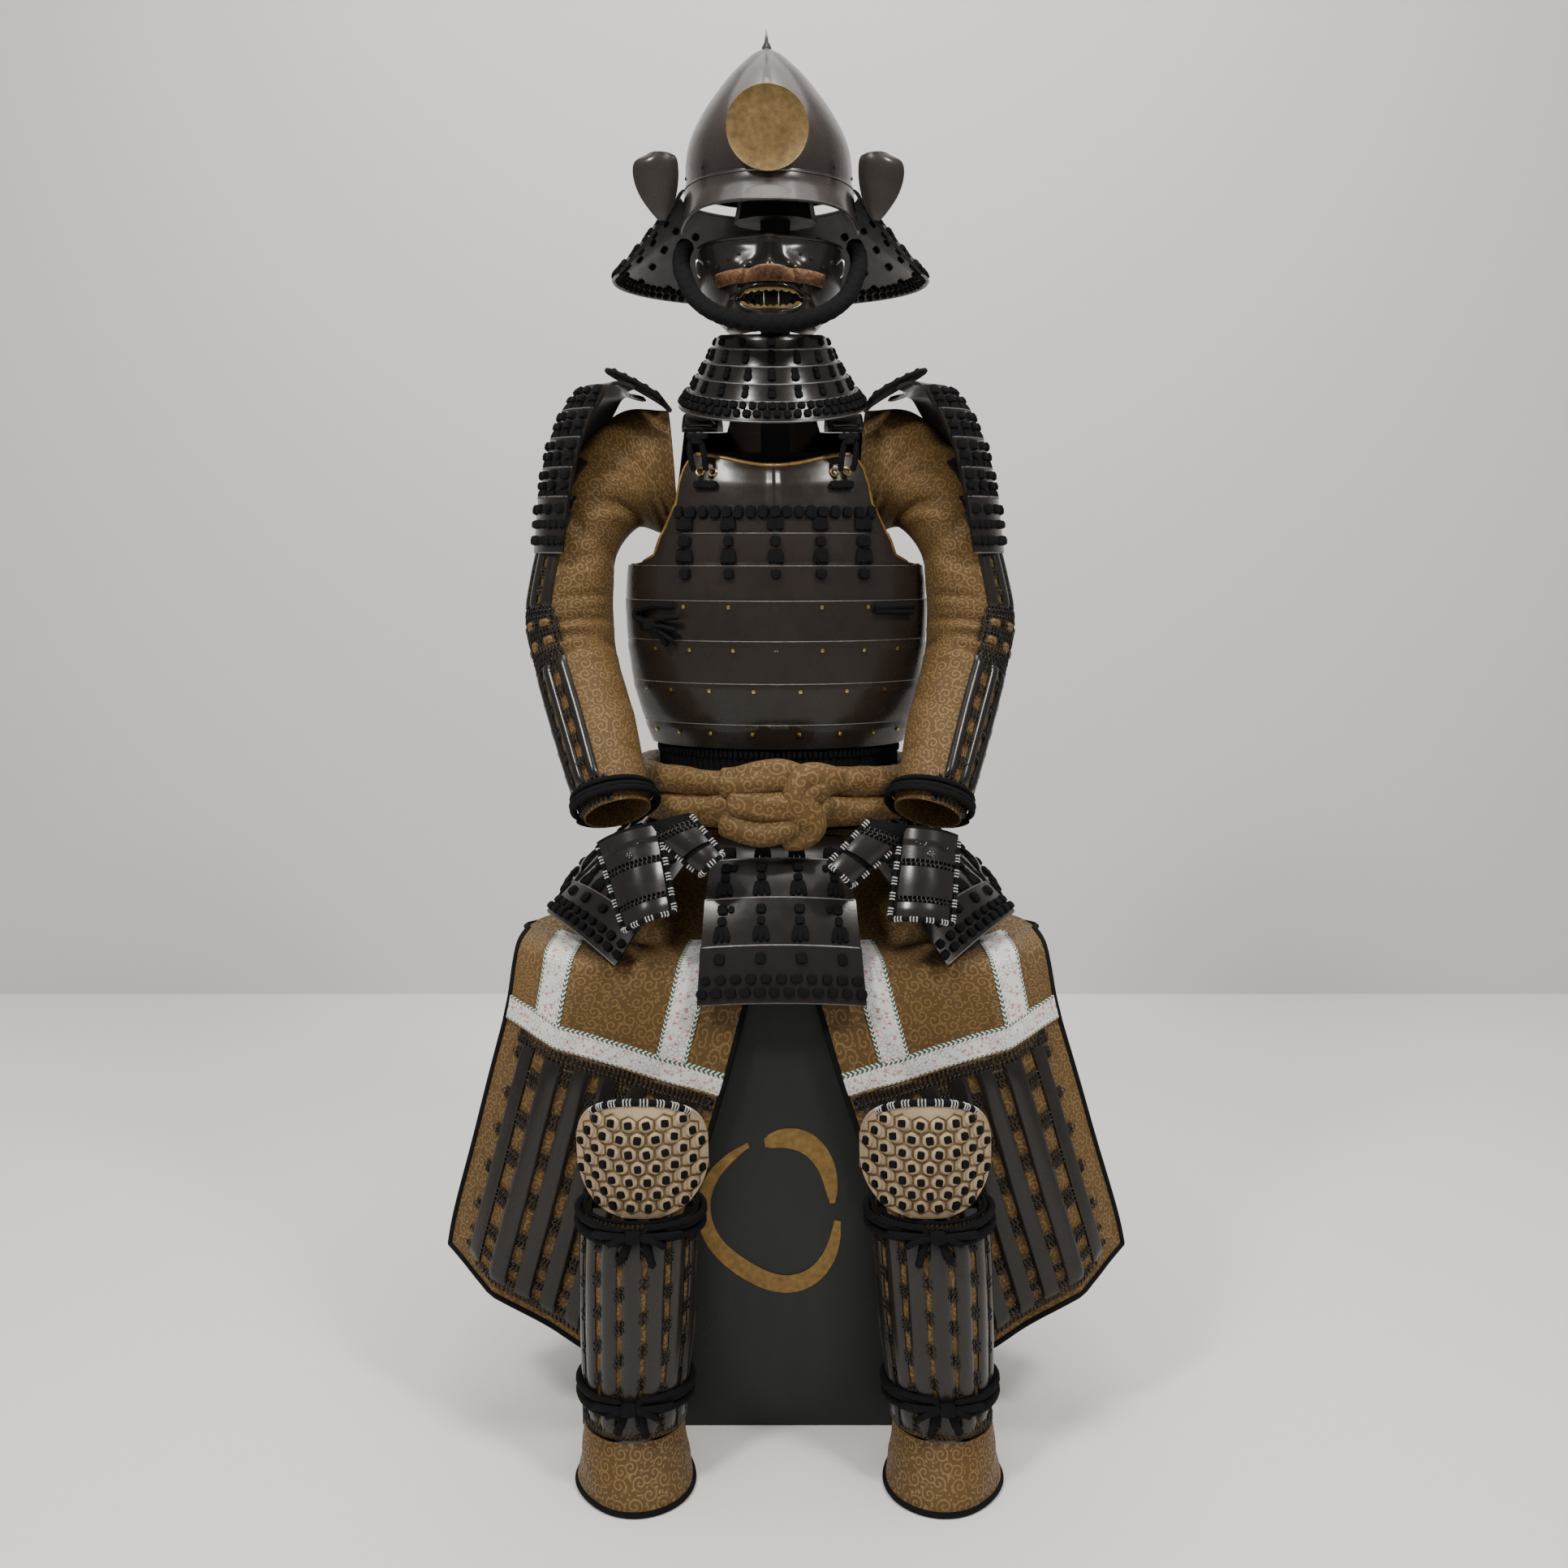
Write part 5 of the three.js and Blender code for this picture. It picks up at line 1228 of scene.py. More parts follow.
sash = [(sash_roll(*roll, phase), DAMASK) for roll, phase in zip(ROLLS, (0.4, 2.1))]
piece("sash_rolls", sash, "sash_wrap", sharp=80)


def strand(points, wide, thick, fold=0.12, phase=0.0, n=60, m=28):
    """A soft flat strand of the knot along a path, with lengthwise folds."""
    p = smooth_path(points, n + 1)
    ahead = unit(np.gradient(p, axis=0))
    out = unit(np.array([0, -1.0, 0]) - ahead * (ahead @ np.array([0, -1.0, 0]))[:, None])
    side = np.cross(ahead, out)
    a = np.linspace(0, 2 * np.pi, m + 1)[None]
    x = np.linspace(0, 1, n + 1)[:, None]
    taper = np.clip(np.minimum(x, 1 - x) / 0.06, 0.02, 1) ** 0.5
    r = 1 - fold * np.exp(-((1 - np.cos(2 * a + phase + 3.0 * x)) / 0.25) ** 2) - fold * 0.6 * np.exp(
        -((1 - np.cos(3 * a - phase + 2 * x)) / 0.3) ** 2)
    v = p[:, None] + (np.cos(a) * r * wide * taper)[..., None] * side[:,
        None] + (np.sin(a) * r * thick * taper)[..., None] * out[:, None]
    uv = np.stack(np.broadcast_arrays(a * (wide + thick) * 0.5, x * path_length(p)), -1).reshape(-1, 2)
    return v.reshape(-1, 3), lattice(n, m)[:, ::-1], uv


knot_parts = [
    strand([(-64, -168, 704), (-46, -178, 697), (-18, -183, 692), (10, -182, 700), (40, -176, 716),
        (52, -170, 735)], 17, 14, 0.15, 0.3),
    strand([(-66, -166, 742), (-44, -176, 745), (-20, -182, 752), (4, -181, 754), (24, -176, 744),
        (34, -172, 722)], 19, 13, 0.15, 1.2),
    strand([(-58, -176, 722), (-34, -184, 722), (-8, -187, 720), (16, -186, 724), (44, -182, 742),
        (58, -172, 752)], 17, 12, 0.14, 2.2),
    strand([(66, -166, 742), (56, -178, 748), (30, -186, 750), (22, -189, 728), (34, -186, 703),
        (22, -180, 690), (0, -174, 690)], 19, 11, 0.15, 0.8),
]
piece("sash_bow", [(k, DAMASK) for k in knot_parts], "sash_knot", sharp=80)

TASSETS = {
    "front": ([(-72, -112, 674), (72, -112, 674)], [(-82, -188, 612), (82, -188, 612)],
        [(-92, -227, 508), (92, -227, 508)], 10),
    "front_side": ([(80, -108, 672), (140, -46, 672)], [(128, -168, 622), (205, -82, 638)],
        [(180, -219, 550), (268, -108, 586)], 12),
    "side": ([(146, -34, 672), (138, 54, 672)], [(206, -58, 642), (192, 66, 640)],
        [(256, -74, 592), (240, 78, 590)], 10),
    "back": ([(130, 64, 672), (14, 110, 672)], [(174, 92, 636), (10, 146, 634)],
        [(206, 122, 574), (6, 180, 572)], 8),
}


def tasset_sheet(key):
    top, middle, bottom, bow = TASSETS[key]
    top, middle, bottom = (np.array(a, float) for a in (top, middle, bottom))
    control = 2 * middle - (top + bottom) / 2
    normal = unit(np.cross(bottom[0] - top[0], top[1] - top[0]))
    q = np.linspace(0, 1, 17)[:, None]
    rows = []
    for t in np.linspace(0, 1, 13):
        ends = (1 - t) ** 2 * top + 2 * t * (1 - t) * control + t**2 * bottom
        rows.append(ends[0] + (ends[1] - ends[0]) * q + normal * bow * 4 * q * (1 - q))
    return Sheet(rows)


def tasset(key, knot_cols, dense, wide=(6.2, 6.6, 4.4)):
    sheet = tasset_sheet(key)
    edges = [0, 3, 6, 9, 12]
    parts = lames(sheet, edges, (0, 16), 8, 40, 3.0, 2.6, 1.1)
    for k in range(4):
        if k:
            parts.append(knots(sheet, 3 * k + 0.62, knot_cols, wide, 5.2))
            outer = [knot_cols[0] + 0.9, knot_cols[-1] - 0.9]
            if k < 3:
                parts.append(knots(sheet, 3 * k + 0.62, outer, (4.2, 4.6, 3.4), 5.0))
        if k < 3:
            parts += brushes(sheet, 3 * k + 2.15, knot_cols, 20, 17, 3, 3.6)
            if k:
                parts.append(knots(sheet, 3 * k + 1.35, knot_cols, (5.2, 5.6, 3.8), 4.4))
    for row, count, off in ((10.75, dense, 0.0), (11.45, dense + 1, -0.3)):
        parts.append(knots(sheet, row, np.linspace(0.7 + off, 15.3 - off, count), (6.4, 5.6, 4.2), 4.2))
    return merged(parts)


piece("tasset_front_lames", tasset("front", np.array([2.0, 6.0, 10.0, 14.0]), 11), "tasset_front")
for key, cols, dense in (("front_side", [2.2, 6, 10, 13.8], 9), ("side", [2.5, 8, 13.5], 9),
        ("back", [2.2, 6, 10, 13.8], 13)):
    pair(f"tasset_{key}_lames", tasset(key, np.array(cols, float), dense), f"tasset_{key}")

# ------------------------------------------------------------------ sleeves

SLEEVE = [(112, 2, 1090, 71, 55, 90), (150, -2, 1088, 73, 56, 80), (192, -15, 1062, 54, 55, 50),
    (217, -33, 1010, 43, 50, 16),
          (227, -42, 960, 46, 52, 4), (231, -44, 915, 49, 53, 0), (222, -62, 866, 46, 49, 0),
          (202, -98, 806, 46, 44, 0),
          (184, -137, 748, 42, 38, 0), (172, -162, 710, 38, 33, 0)]


def ring_axes(rings, i):
    place = lambda r: np.array(r[:3], float)
    along = unit(place(rings[min(i + 1, len(rings) - 1)]) - place(rings[max(i - 1, 0)]))
    turn = math.radians(rings[i][5])
    outward = np.array([math.cos(turn), 0, math.sin(turn)])
    outward = unit(outward - along * np.dot(outward, along))
    return along, outward, np.cross(outward, along)


def sleeve_sheet():
    rows = []
    for i, ring in enumerate(SLEEVE):
        _, outward, back = ring_axes(SLEEVE, i)
        a = np.radians(np.arange(24) * 15.0)
        rows.append(np.array(ring[:3]) + ring[3] * np.cos(a)[:, None] * outward + ring[4] * np.sin(a)[:,
            None] * back)
    return Sheet(rows, closed=True)


SLEEVE_FOLDS = [  # row, column, slope in columns per row, depth, half width in rows, length in columns
    (1.2, -6.2, 0.35, 5.5, 0.16, 3.2), (1.7, -5.0, 0.7, 6.0, 0.15, 2.6), (2.35, -6.6, 0.5, 7.0, 0.17, 2.4),
    (2.9, -5.4, -0.4, 5.0, 0.16, 2.2), (0.7, -7.6, 0.9, 4.0, 0.15, 2.8), (3.5, -7.0, 0.3, 4.5, 0.16, 2.0),
    (2.1, -8.4, 0.4, 5.0, 0.16, 2.4), (3.1, -9.4, -0.3, 4.0, 0.15, 2.2), (4.35, -8.0, 0.25, 3.5, 0.14, 2.4),
    (5.15, -6.0, 0.1, 5.0, 0.12, 5.0), (5.55, -4.5, -0.15, 6.0, 0.13, 5.5),
    (5.95, -6.5, 0.12, 5.0, 0.12, 4.5),
    (5.35, 2.5, 0.1, 4.0, 0.13, 4.5), (5.8, 4.0, -0.1, 4.5, 0.13, 4.0), (1.5, 5.0, 0.4, 5.0, 0.17, 3.0),
    (2.4, 6.6, -0.4, 5.0, 0.16, 2.8),
    (3.3, 8.6, 0.3, 4.0, 0.16, 2.4), (6.9, -9.5, 0.2, 3.0, 0.14, 2.4), (7.8, -10.0, -0.2, 2.6, 0.14, 2.2),
]


def sleeve_push(s, t):
    s, t = np.broadcast_arrays(np.asarray(s, float), np.asarray(t, float))
    t = np.mod(t + 12, 24) - 12
    out = np.zeros(s.shape)
    for row, col, slope, deep, wide, long in SLEEVE_FOLDS:
        d = (s - row) - (t - col) * slope * 0.22
        fade = np.exp(-(((t - col) / long) ** 2))
        out += fade * (-deep * np.exp(-((d / wide) ** 2)) + 0.45 * deep * np.exp(
            -(((d - 1.5 * wide) / (wide * 1.2)) ** 2)))
    return np.clip(out, -9, 4.0) * smooth(s, 0.0, 0.35)


sleeve = sleeve_sheet()
sleeve.push = sleeve_push
cloth = pair("sleeve_cloth", [(shell(sleeve, (0, 9), (-12, 12), 112, 76, (-1.6, 0.0)), DAMASK)], "sleeve",
    ARM_SHIFT, 80)

smooth_sleeve = sleeve_sheet()
arm = []
# upper arm: dark splints between windows of cloth, crossed by strips of mail
upper_cols = [-4.1, -2.45, -0.8, 0.85, 2.5, 4.1]
for c in upper_cols:
    arm.append((bar(smooth_sleeve, (2.75, 4.72), float(c), 7.2, 20, 8, 1.2, 4.6), LACQUER))
for a, b in zip(upper_cols[:-1], upper_cols[1:]):
    for k, s in enumerate((2.72, 3.12, 3.5, 3.9, 4.3, 4.7)):
        arm.append(mail_patch(smooth_sleeve, (s - 0.10, s + 0.10), (a + 0.42, b - 0.42), 4.6, 2.7, 2.6))
arm.append(mail_patch(smooth_sleeve, (2.5, 2.72), (-4.6, 4.6), 5.2, 3.0, 1.8))
cap = shell(smooth_sleeve, (1.9, 2.5), (-3.4, 3.4), 10, 24, (1.2, 3.4), lambda s,
    t: 1.2 * (1 - ((s - 2.2) / 0.3) ** 2))
arm.append((cap, LACQUER))
# elbow: dense mail round two rows of small windows
for s in ((4.74, 5.02), (5.24, 5.48), (5.72, 6.0)):
    arm.append(mail_patch(smooth_sleeve, s, (-5.2, 5.2), 4.8, 2.9, 2.2, 2600))
for c in (-5.0, -3.0, -1.0, 1.0, 3.0, 5.0):
    arm.append(mail_patch(smooth_sleeve, (5.02, 5.72), (c - 0.38, c + 0.38), 4.6, 2.8, 2.2))
for c in (-4.0, -2.0, 0.0, 2.0, 4.0):
    for s in (5.13, 5.6):
        arm.append((shell(smooth_sleeve, (s - 0.12, s + 0.12), (c - 0.62, c + 0.62), 8, 10, (0.2, 0.8),
                          lambda ss, tt, s=s,
                              c=c: 4.6 * np.clip(1 - ((ss - s) / 0.125) ** 2, 0,
                                  1) ** 0.7 * np.clip(1 - ((tt - c) / 0.64) ** 2, 0, 1) ** 0.6), DAMASK))
# forearm: long half round splints, with staggered clusters of mail between them
fore_cols = [-4.6, -2.76, -0.92, 0.92, 2.76, 4.6]
for c in fore_cols:
    arm.append((bar(smooth_sleeve, (6.05, 8.28), float(c), lambda s: 6.6 - 0.9 * (s - 6.05) / 2.2, 28, 8, 1.2,
        5.4), LACQUER))
for g, (a, b) in enumerate(zip(fore_cols[:-1], fore_cols[1:])):
    for k in range(6):
        s = 6.2 + 0.42 * k + (0.16 if g % 2 else 0.0)
        if s < 8.25:
            arm.append(mail_patch(smooth_sleeve, (s - 0.085, s + 0.085), (a + 0.4, b - 0.4), 4.4, 2.8, 3.0))
arm.append(mail_patch(smooth_sleeve, (8.28, 8.95), (-6.2, 6.2), 4.8, 2.9, 2.0, 1800))
arm.append(mail_patch(smooth_sleeve, (5.98, 6.08), (-5.4, 5.4), 4.8, 2.8, 2.4, 1800))
pair("sleeve_splints", merged(arm), "sleeve_mail", ARM_SHIFT)

# wrist cords: a double turn, knotted at the back of the hand
along_axis, outward, back_axis = ring_axes(SLEEVE, 9)


def wrist_loop(a, up, out):
    r = SLEEVE[9]
    radial = outward * np.cos(a)[:, None] + back_axis * np.sin(a)[:, None]
    return (np.array(r[:3]) - along_axis * up[:, None] + outward * (r[3] * np.cos(a))[:, None]
            + back_axis * (r[4] * np.sin(a))[:, None] + radial * out)


for side in ("left", "right"):
    a = np.linspace(0.3, 0.3 + 4 * np.pi, 91)
    path = wrist_loop(a, 7 + 9.5 * (a - 0.3) / (4 * np.pi) + 2 * np.cos(a), 9.5)
    third = wrist_loop(a[:46], 24 + 3 * np.cos(a[:46]), 7.5)
    tie = [(tube(third, 3.4, 10, 3, 9.0, closed=False), SILK)]
    cord_piece(f"wrist_rope_{side}", path, 4.0, f"wrist_cord_{side}", side == "right", ARM_SHIFT, 150, 3,
        10.0, tie)

# ------------------------------------------------------------------ hand guards

HANDS = {
    "left": (((133, -197, 702), (196, -190, 690), (116, -238, 606), (185, -236, 600)),
        ((101, -205, 712), (150, -198, 700), (52, -226, 664), (76, -228, 640))),
    "right": (((130, -197, 706), (200, -190, 682), (112, -238, 614), (168, -236, 592)),
        ((98, -205, 718), (150, -198, 702), (60, -226, 674), (84, -228, 652))),
}


def corner_sheet(corners, bulge, n=13, m=13):
    ti, to, bi, bo = (np.array(c, float) for c in corners)
    normal = unit(np.cross(bi - ti, to - ti))
    q = np.linspace(0, 1, m)[:, None]
    rows = []
    for t in np.linspace(0, 1, n):
        a, b = lerp(ti, bi, t), lerp(to, bo, t)
        rows.append(a + (b - a) * q + normal * bulge * 4 * q * (1 - q))
    return Sheet(rows)


def boss(sheet, s, t, r):
    o, right, down, n = (a.reshape(3) for a in sheet.axes(s, t, 2.6))
    a = np.linspace(0, 2 * np.pi, 25)[:-1]
    ring = lambda k: o + r * k * (np.cos(a)[:, None] * right + np.sin(a)[:, None] * down)
    dots = o + 0.62 * r * (np.cos(a[::5])[:, None] * right + np.sin(a[::5])[:, None] * down)
    count = len(dots) + 1
    place = (np.concatenate([dots, o[None]]), np.tile(right, (count, 1)), np.tile(down, (count, 1)),
        np.tile(n, (count, 1)))
    return [(tube(ring(1.0), 0.9, 6, closed=True), LACQUER), (stamp(PEBBLE, place, (1.7, 1.7, 1.3)), LACQUER)]


def edge_braid(points, radius=3.0):
    """A plaited edge cord: black, with white stitches in groups."""
    path = smooth_path(points, max(20, int(path_length(points) / 2.2)))
    out = [(tube(path, radius, 8, 3, 9.0), SILK)]
    total = path_length(path)
    d = np.concatenate([[0], np.cumsum(np.linalg.norm(np.diff(path, axis=0), axis=-1))])
    at = np.concatenate([np.arange(4, total - 2, 17) + k for k in (0.0, 3.4, 6.8)])
    at = at[at < total - 1]
    o = np.stack([np.interp(at, d, path[:, k]) for k in range(3)], -1)
    ahead = unit(np.stack([np.interp(at + 1, d, path[:, k]) for k in range(3)], -1) - o + 1e-6)
    side = unit(np.cross(ahead, np.array([0.2, -1.0, 0.3])))
    out.append((stamp(PEBBLE, (o, ahead, side, np.cross(ahead, side)), (1.15, radius * 1.12, radius * 1.12)),
        WHITE_THREAD))
    return out


for side, (back_c, thumb_c) in HANDS.items():
    hand, thumb = corner_sheet(back_c, 14), corner_sheet(thumb_c, 9)
    parts = [
        (shell(hand, (0.0, 12), (0, 12), 24, 24, (-1.0, 0.6)), SILK),
        (shell(hand, (0.5, 4.3), (1.0, 11.2), 12, 20, (0.8, 2.8), lambda s, t: 1.2 * (s < 2.3)), LACQUER),
        (shell(hand, (5.3, 9.1), (1.2, 11.0), 12, 20, (0.8, 3.0), lambda s, t: 1.0 * bell(s, 7.2, 2.2)),
            LACQUER),
        (shell(hand, (9.9, 11.7), (1.4, 10.6), 8, 20, (0.8, 3.0), lambda s, t: 0.8 * bell(s, 10.8, 0.8)),
            LACQUER),
        mail_patch(hand, (4.3, 5.3), (1.0, 11.2), 4.6, 2.7, 1.8),
        mail_patch(hand, (9.1, 9.9), (1.4, 10.8), 4.6, 2.7, 1.8),
        (shell(thumb, (0.3, 12), (0, 12), 20, 18, (-1.0, 0.6)), SILK),
        (shell(thumb, (4.2, 8.0), (1.2, 10.8), 10, 14, (0.8, 3.0), lambda s, t: 0.8 * bell(s, 6.1, 2.4)),
            LACQUER),
        (shell(thumb, (8.9, 11.7), (1.4, 10.6), 10, 14, (0.8, 3.0), lambda s, t: 0.8 * bell(s, 10.2, 1.6)),
            LACQUER),
        mail_patch(thumb, (2.4, 4.2), (0.8, 11.2), 4.6, 2.7, 1.8),
    ]
    for s, t, r in ((2.0, 4.0, 6.5), (2.0, 8.4, 6.5), (7.2, 3.6, 7.5), (7.2, 8.6, 7.5), (3.6, 6.2, 4.0)):
        parts += boss(hand, s, t, r)
    parts += boss(thumb, 6.1, 6.0, 5.5)
    round_hand = np.concatenate([
        hand.place(np.linspace(2.5, 11.6, 10), np.full(10, 0.3), 1.8),
            hand.place(np.full(8, 12.0), np.linspace(0.8, 11.2, 8), 1.8),
        hand.place(np.linspace(11.6, 0.6, 10), np.full(10, 11.8), 1.8),
    ])
    round_thumb = np.concatenate([
        thumb.place(np.linspace(0.6, 11.5, 8), np.full(8, 0.2), 1.8),
            thumb.place(np.full(5, 12.0), np.linspace(1.2, 10.8, 5), 1.8),
        thumb.place(np.linspace(11.5, 4.5, 6), np.full(6, 11.8), 1.8),
    ])
    parts += edge_braid(round_hand) + edge_braid(round_thumb)
    piece(f"hand_plates_{side}", merged(parts), f"hand_guard_{side}", side == "right")

# ------------------------------------------------------------------ shoulder guards and wings

GUARD = [(158, 1175, 0.3), (182, 1181, 0.5), (206, 1178, 0.8), (225, 1161, 1), (238, 1138, 1), (249, 1110, 1),
    (256, 1082, 1), (262, 1053, 1),
         (267, 1025, 1), (271, 997, 1)]


def guard_sheet():
    a = np.radians(np.linspace(-56, 56, 25))
    return Sheet([np.stack([x - w * 95 * (1 - np.cos(a)), -26 + 95 * np.sin(a), np.full(25, float(z))],
        -1) for x, z, w in GUARD])


guard = guard_sheet()
edges = [0, 2.1, 3.4, 4.6, 5.75, 6.9, 9]
parts = lames(guard, edges, (0, 24), 8, 50, 2.8, 2.4, 1.1)
parts.append((shell(guard, (0.1, 8.9), (0.3, 23.7), 24, 40, (-0.7, 0.3)), DARK_INSIDE))
cols = np.linspace(1.4, 22.6, 9)
for k, (a, b) in enumerate(zip(edges[:-1], edges[1:])):
    if k:
        parts.append(knots(guard, a + 0.2 * (b - a), cols, (6.4, 5.6, 4.4), 5.4))
        parts.append(knots(guard, a + 0.55 * (b - a) if k < 5 else a + 0.35, cols, (6.8, 5.0, 4.4), 4.6))
    if 0 < k < 5:
        parts += brushes(guard, a + 0.84 * (b - a), cols, 12, 15, 3, 4.0)
for row, count in ((7.9, 19), (8.55, 18)):
    parts.append(knots(guard, row, np.linspace(0.6, 23.4, count), (6.2, 5.4, 4.2), 4.2))
piece_parts = merged(parts)
pair("shoulder_lames", piece_parts, "shoulder_guard", ARM_SHIFT)

wing_rows = []
for t in np.linspace(0, 0.985, 12):
    half = 76 * math.sqrt(1 - t * t)
    y = np.linspace(-half, half, 21)
    wing_rows.append(np.stack([np.full(21, lerp(120, 186, t)), y, np.full(21, lerp(1166, 1204, t**0.8))], -1))
wing = Sheet(wing_rows)
rim = np.concatenate([wing.place(np.linspace(0, 11, 40), np.full(40, 0.0), 2.0),
    wing.place(np.full(10, 11.0), np.linspace(0, 20, 10), 2.0),
                      wing.place(np.linspace(11, 0, 40), np.full(40, 20.0), 2.0),
                          wing.place(np.full(20, 0.0), np.linspace(20, 0, 20), 2.0)])
wing_parts = [
    (shell(wing, (0.1, 10.9), (0.3, 19.7), 22, 40, (1.9, 3.4), lambda s,
        t: 0.9 * np.abs(np.sin(s * 1.5) * np.sin(t * 1.2))), CREAM),
    (shell(wing, (0, 11), (0, 20), 22, 40, (0.2, 1.9)), SILK),
    (tube(rim, 3.2, 10, 3, 10.0, closed=True), SILK),
]
for k, row in enumerate(np.linspace(1.2, 9.4, 5)):
    wing_parts.append(knots(wing, row, np.linspace(2.2 + (k % 2), 17.8 - (k % 2), 7 - (k % 2)),
        (3.4, 3.4, 2.6), 4.6))
pair("wing", merged(wing_parts), "shoulder_wing", ARM_SHIFT)

# ------------------------------------------------------------------ thigh apron

APRON_WAIST = [(678, 134, 98), (620, 140, 106)]
APRON = [((18, -114, 556), (290, -30, 561)), ((22, -150, 551), (297, -78, 560)),
    ((27, -196, 548), (302, -114, 552)), ((32, -206, 532), (305, -134, 532)),
         ((62, -210, 425), (308, -152, 501)), ((70, -210, 399), (314, -153, 475)),
         ((72, -210, 393), (315.5, -153, 469)), ((98, -210, 308), (335, -155, 402)),
         ((124, -210, 222), (354, -157, 334)), ((150, -210, 137), (374, -158, 266)),
         ((163, -210, 95), (383, -158, 232)), ((170, -210, 72), (388, -158, 207))]
APRON_Q = np.array([0, 0.025, 0.05, 0.115, 0.18, 0.25, 0.315, 0.39, 0.46, 0.53, 0.6, 0.67, 0.74, 0.8, 0.865,
    0.9, 0.95, 1.0])


def apron_sheet():
    rows = [around(0, hw, hd, lerp(6, 84, APRON_Q), z) for z, hw, hd in APRON_WAIST]
    for i, (inner, outer) in enumerate(APRON):
        hang = min(max((i - 3) / 4, 0), 1)
        p = np.array(inner, float) + (np.array(outer, float) - inner) * APRON_Q[:, None]
        p[:, 1] = lerp(inner[1], outer[1], np.maximum(0, (APRON_Q - 0.74) / 0.26))
        wave = np.sin(np.pi * APRON_Q) * (1 - np.cos(4 * np.pi * APRON_Q)) / 2
        p[:, 1] -= 7 * wave * hang
        rows.append(p)
    return Sheet(rows)


APRON_FOLDS = [  # row, column, rows per column, depth, half width in columns, length in rows
    (4.0, 2.2, 0.30, 6.0, 0.8, 2.6), (4.6, 5.4, -0.25, 5.0, 0.9, 2.2), (4.2, 8.6, 0.2, 5.5, 0.9, 2.4),
        (4.9, 11.6, -0.2, 4.0, 0.8, 2.0),
    (5.0, 14.2, 0.15, 4.0, 0.7, 1.8), (9.0, 3.2, 0.0, 3.0, 0.9, 4.5), (9.5, 7.4, 0.0, 3.5, 1.1, 5.0),
    (9.0, 11.8, 0.0, 3.0, 1.0, 4.5),
]


def apron_push(s, t):
    s, t = np.broadcast_arrays(np.asarray(s, float), np.asarray(t, float))
    out = np.zeros(s.shape)
    for row, col, slope, deep, wide, long in APRON_FOLDS:
        d = t - col - (s - row) * slope * 4
        fade = np.exp(-(((s - row) / long) ** 2))
        out += fade * (-0.45 * deep * np.exp(-((d / wide) ** 2)) + 0.40 * deep * np.exp(
            -(((d - 1.6 * wide) / (wide * 1.3)) ** 2)))
    return np.clip(out, -3.2, 3.0) * smooth(s, 1.5, 3.5)


apron = apron_sheet()
apron.push = apron_push
COLS = len(APRON_Q) - 1


apron_cloth = pair("apron_cloth", [(shell(apron, (0, 13), (0, COLS), 100, 70, (-1.6, 0.0)), DAMASK)],
    "apron_panel", 0.0, 80)
hem_s = np.concatenate([np.linspace(2.2, 13, 50), np.full(30, 13.0), np.linspace(13, 2.0, 50),
    np.full(14, 2.05)])
hem_t = np.concatenate([np.full(50, 0.0), np.linspace(0, COLS, 30), np.full(50, float(COLS)),
    np.linspace(COLS, COLS * 0.45, 14)])
hem = [(tube(apron.place(hem_s[:130], hem_t[:130], -0.6), 3.4, 8), SILK)]
hems = pair("apron_piping", hem)

q_to_col = lambda q: np.interp(q, APRON_Q, np.arange(len(APRON_Q)))
field = []
splint_q = np.linspace(0.105, 0.855, 7)
for q in splint_q:
    field.append((bar(apron, (8.15, 12.35 - 0.25 * abs(q - 0.5)), float(q_to_col(q)), 10.5, 24, 8, 1.4, 5.2,
        "flat"), LACQUER))
for g, (a, b) in enumerate(zip(splint_q[:-1], splint_q[1:])):
    lo, hi = float(q_to_col(a + 0.036)), float(q_to_col(b - 0.036))
    for k in range(7):
        s = 8.36 + 0.61 * k + (0.2 if g % 2 else 0.0)
        field.append(mail_patch(apron, (s - 0.12, s + 0.12), (lo, hi), 5.2, 3.1, 2.6))
for k in range(7):
    s = 8.36 + 0.61 * k
    field.append(mail_patch(apron, (s - 0.08, s + 0.08), (float(q_to_col(0.05)), float(q_to_col(0.075))), 5.0,
        3.0, 2.0))
    field.append(mail_patch(apron, (s - 0.08, s + 0.08), (float(q_to_col(0.885)), float(q_to_col(0.915))),
        5.0, 3.0, 2.0))
field.append(mail_patch(apron, (7.92, 8.2), (0.6, COLS - 1.2), 5.2, 3.0, 1.8, 1600))
field.append(mail_patch(apron, (12.3, 12.5), (1.6, COLS - 3.0), 5.2, 3.0, 1.8, 1600))
pair("apron_splints", merged(field), "apron_mail")


def band(sheet, s, t, n, m, along_rows):
    """A flat strip whose pattern runs along it, from -1.3 to 1.3 across."""
    v, f, _ = shell(sheet, s, t, n, m, (0.2, 1.4))
    ss, tt = np.meshgrid(np.linspace(0, 1, n + 1), np.linspace(0, 1, m + 1), indexing="ij")
    grid = v[: (n + 1) * (m + 1)].reshape(n + 1, m + 1, 3)
    if along_rows:
        d = np.concatenate([[0], np.cumsum(np.linalg.norm(np.diff(grid[n // 2], axis=0), axis=-1))])
        uv = np.stack([np.broadcast_to(d[None], ss.shape), (ss * 2 - 1) * 13.0], -1)
    else:
        d = np.concatenate([[0], np.cumsum(np.linalg.norm(np.diff(grid[:, m // 2], axis=0), axis=-1))])
        uv = np.stack([np.broadcast_to(d[:, None], ss.shape), (tt * 2 - 1) * 13.0], -1)
    uv = uv.reshape(-1, 2)
    return v, f, np.concatenate([uv, uv])


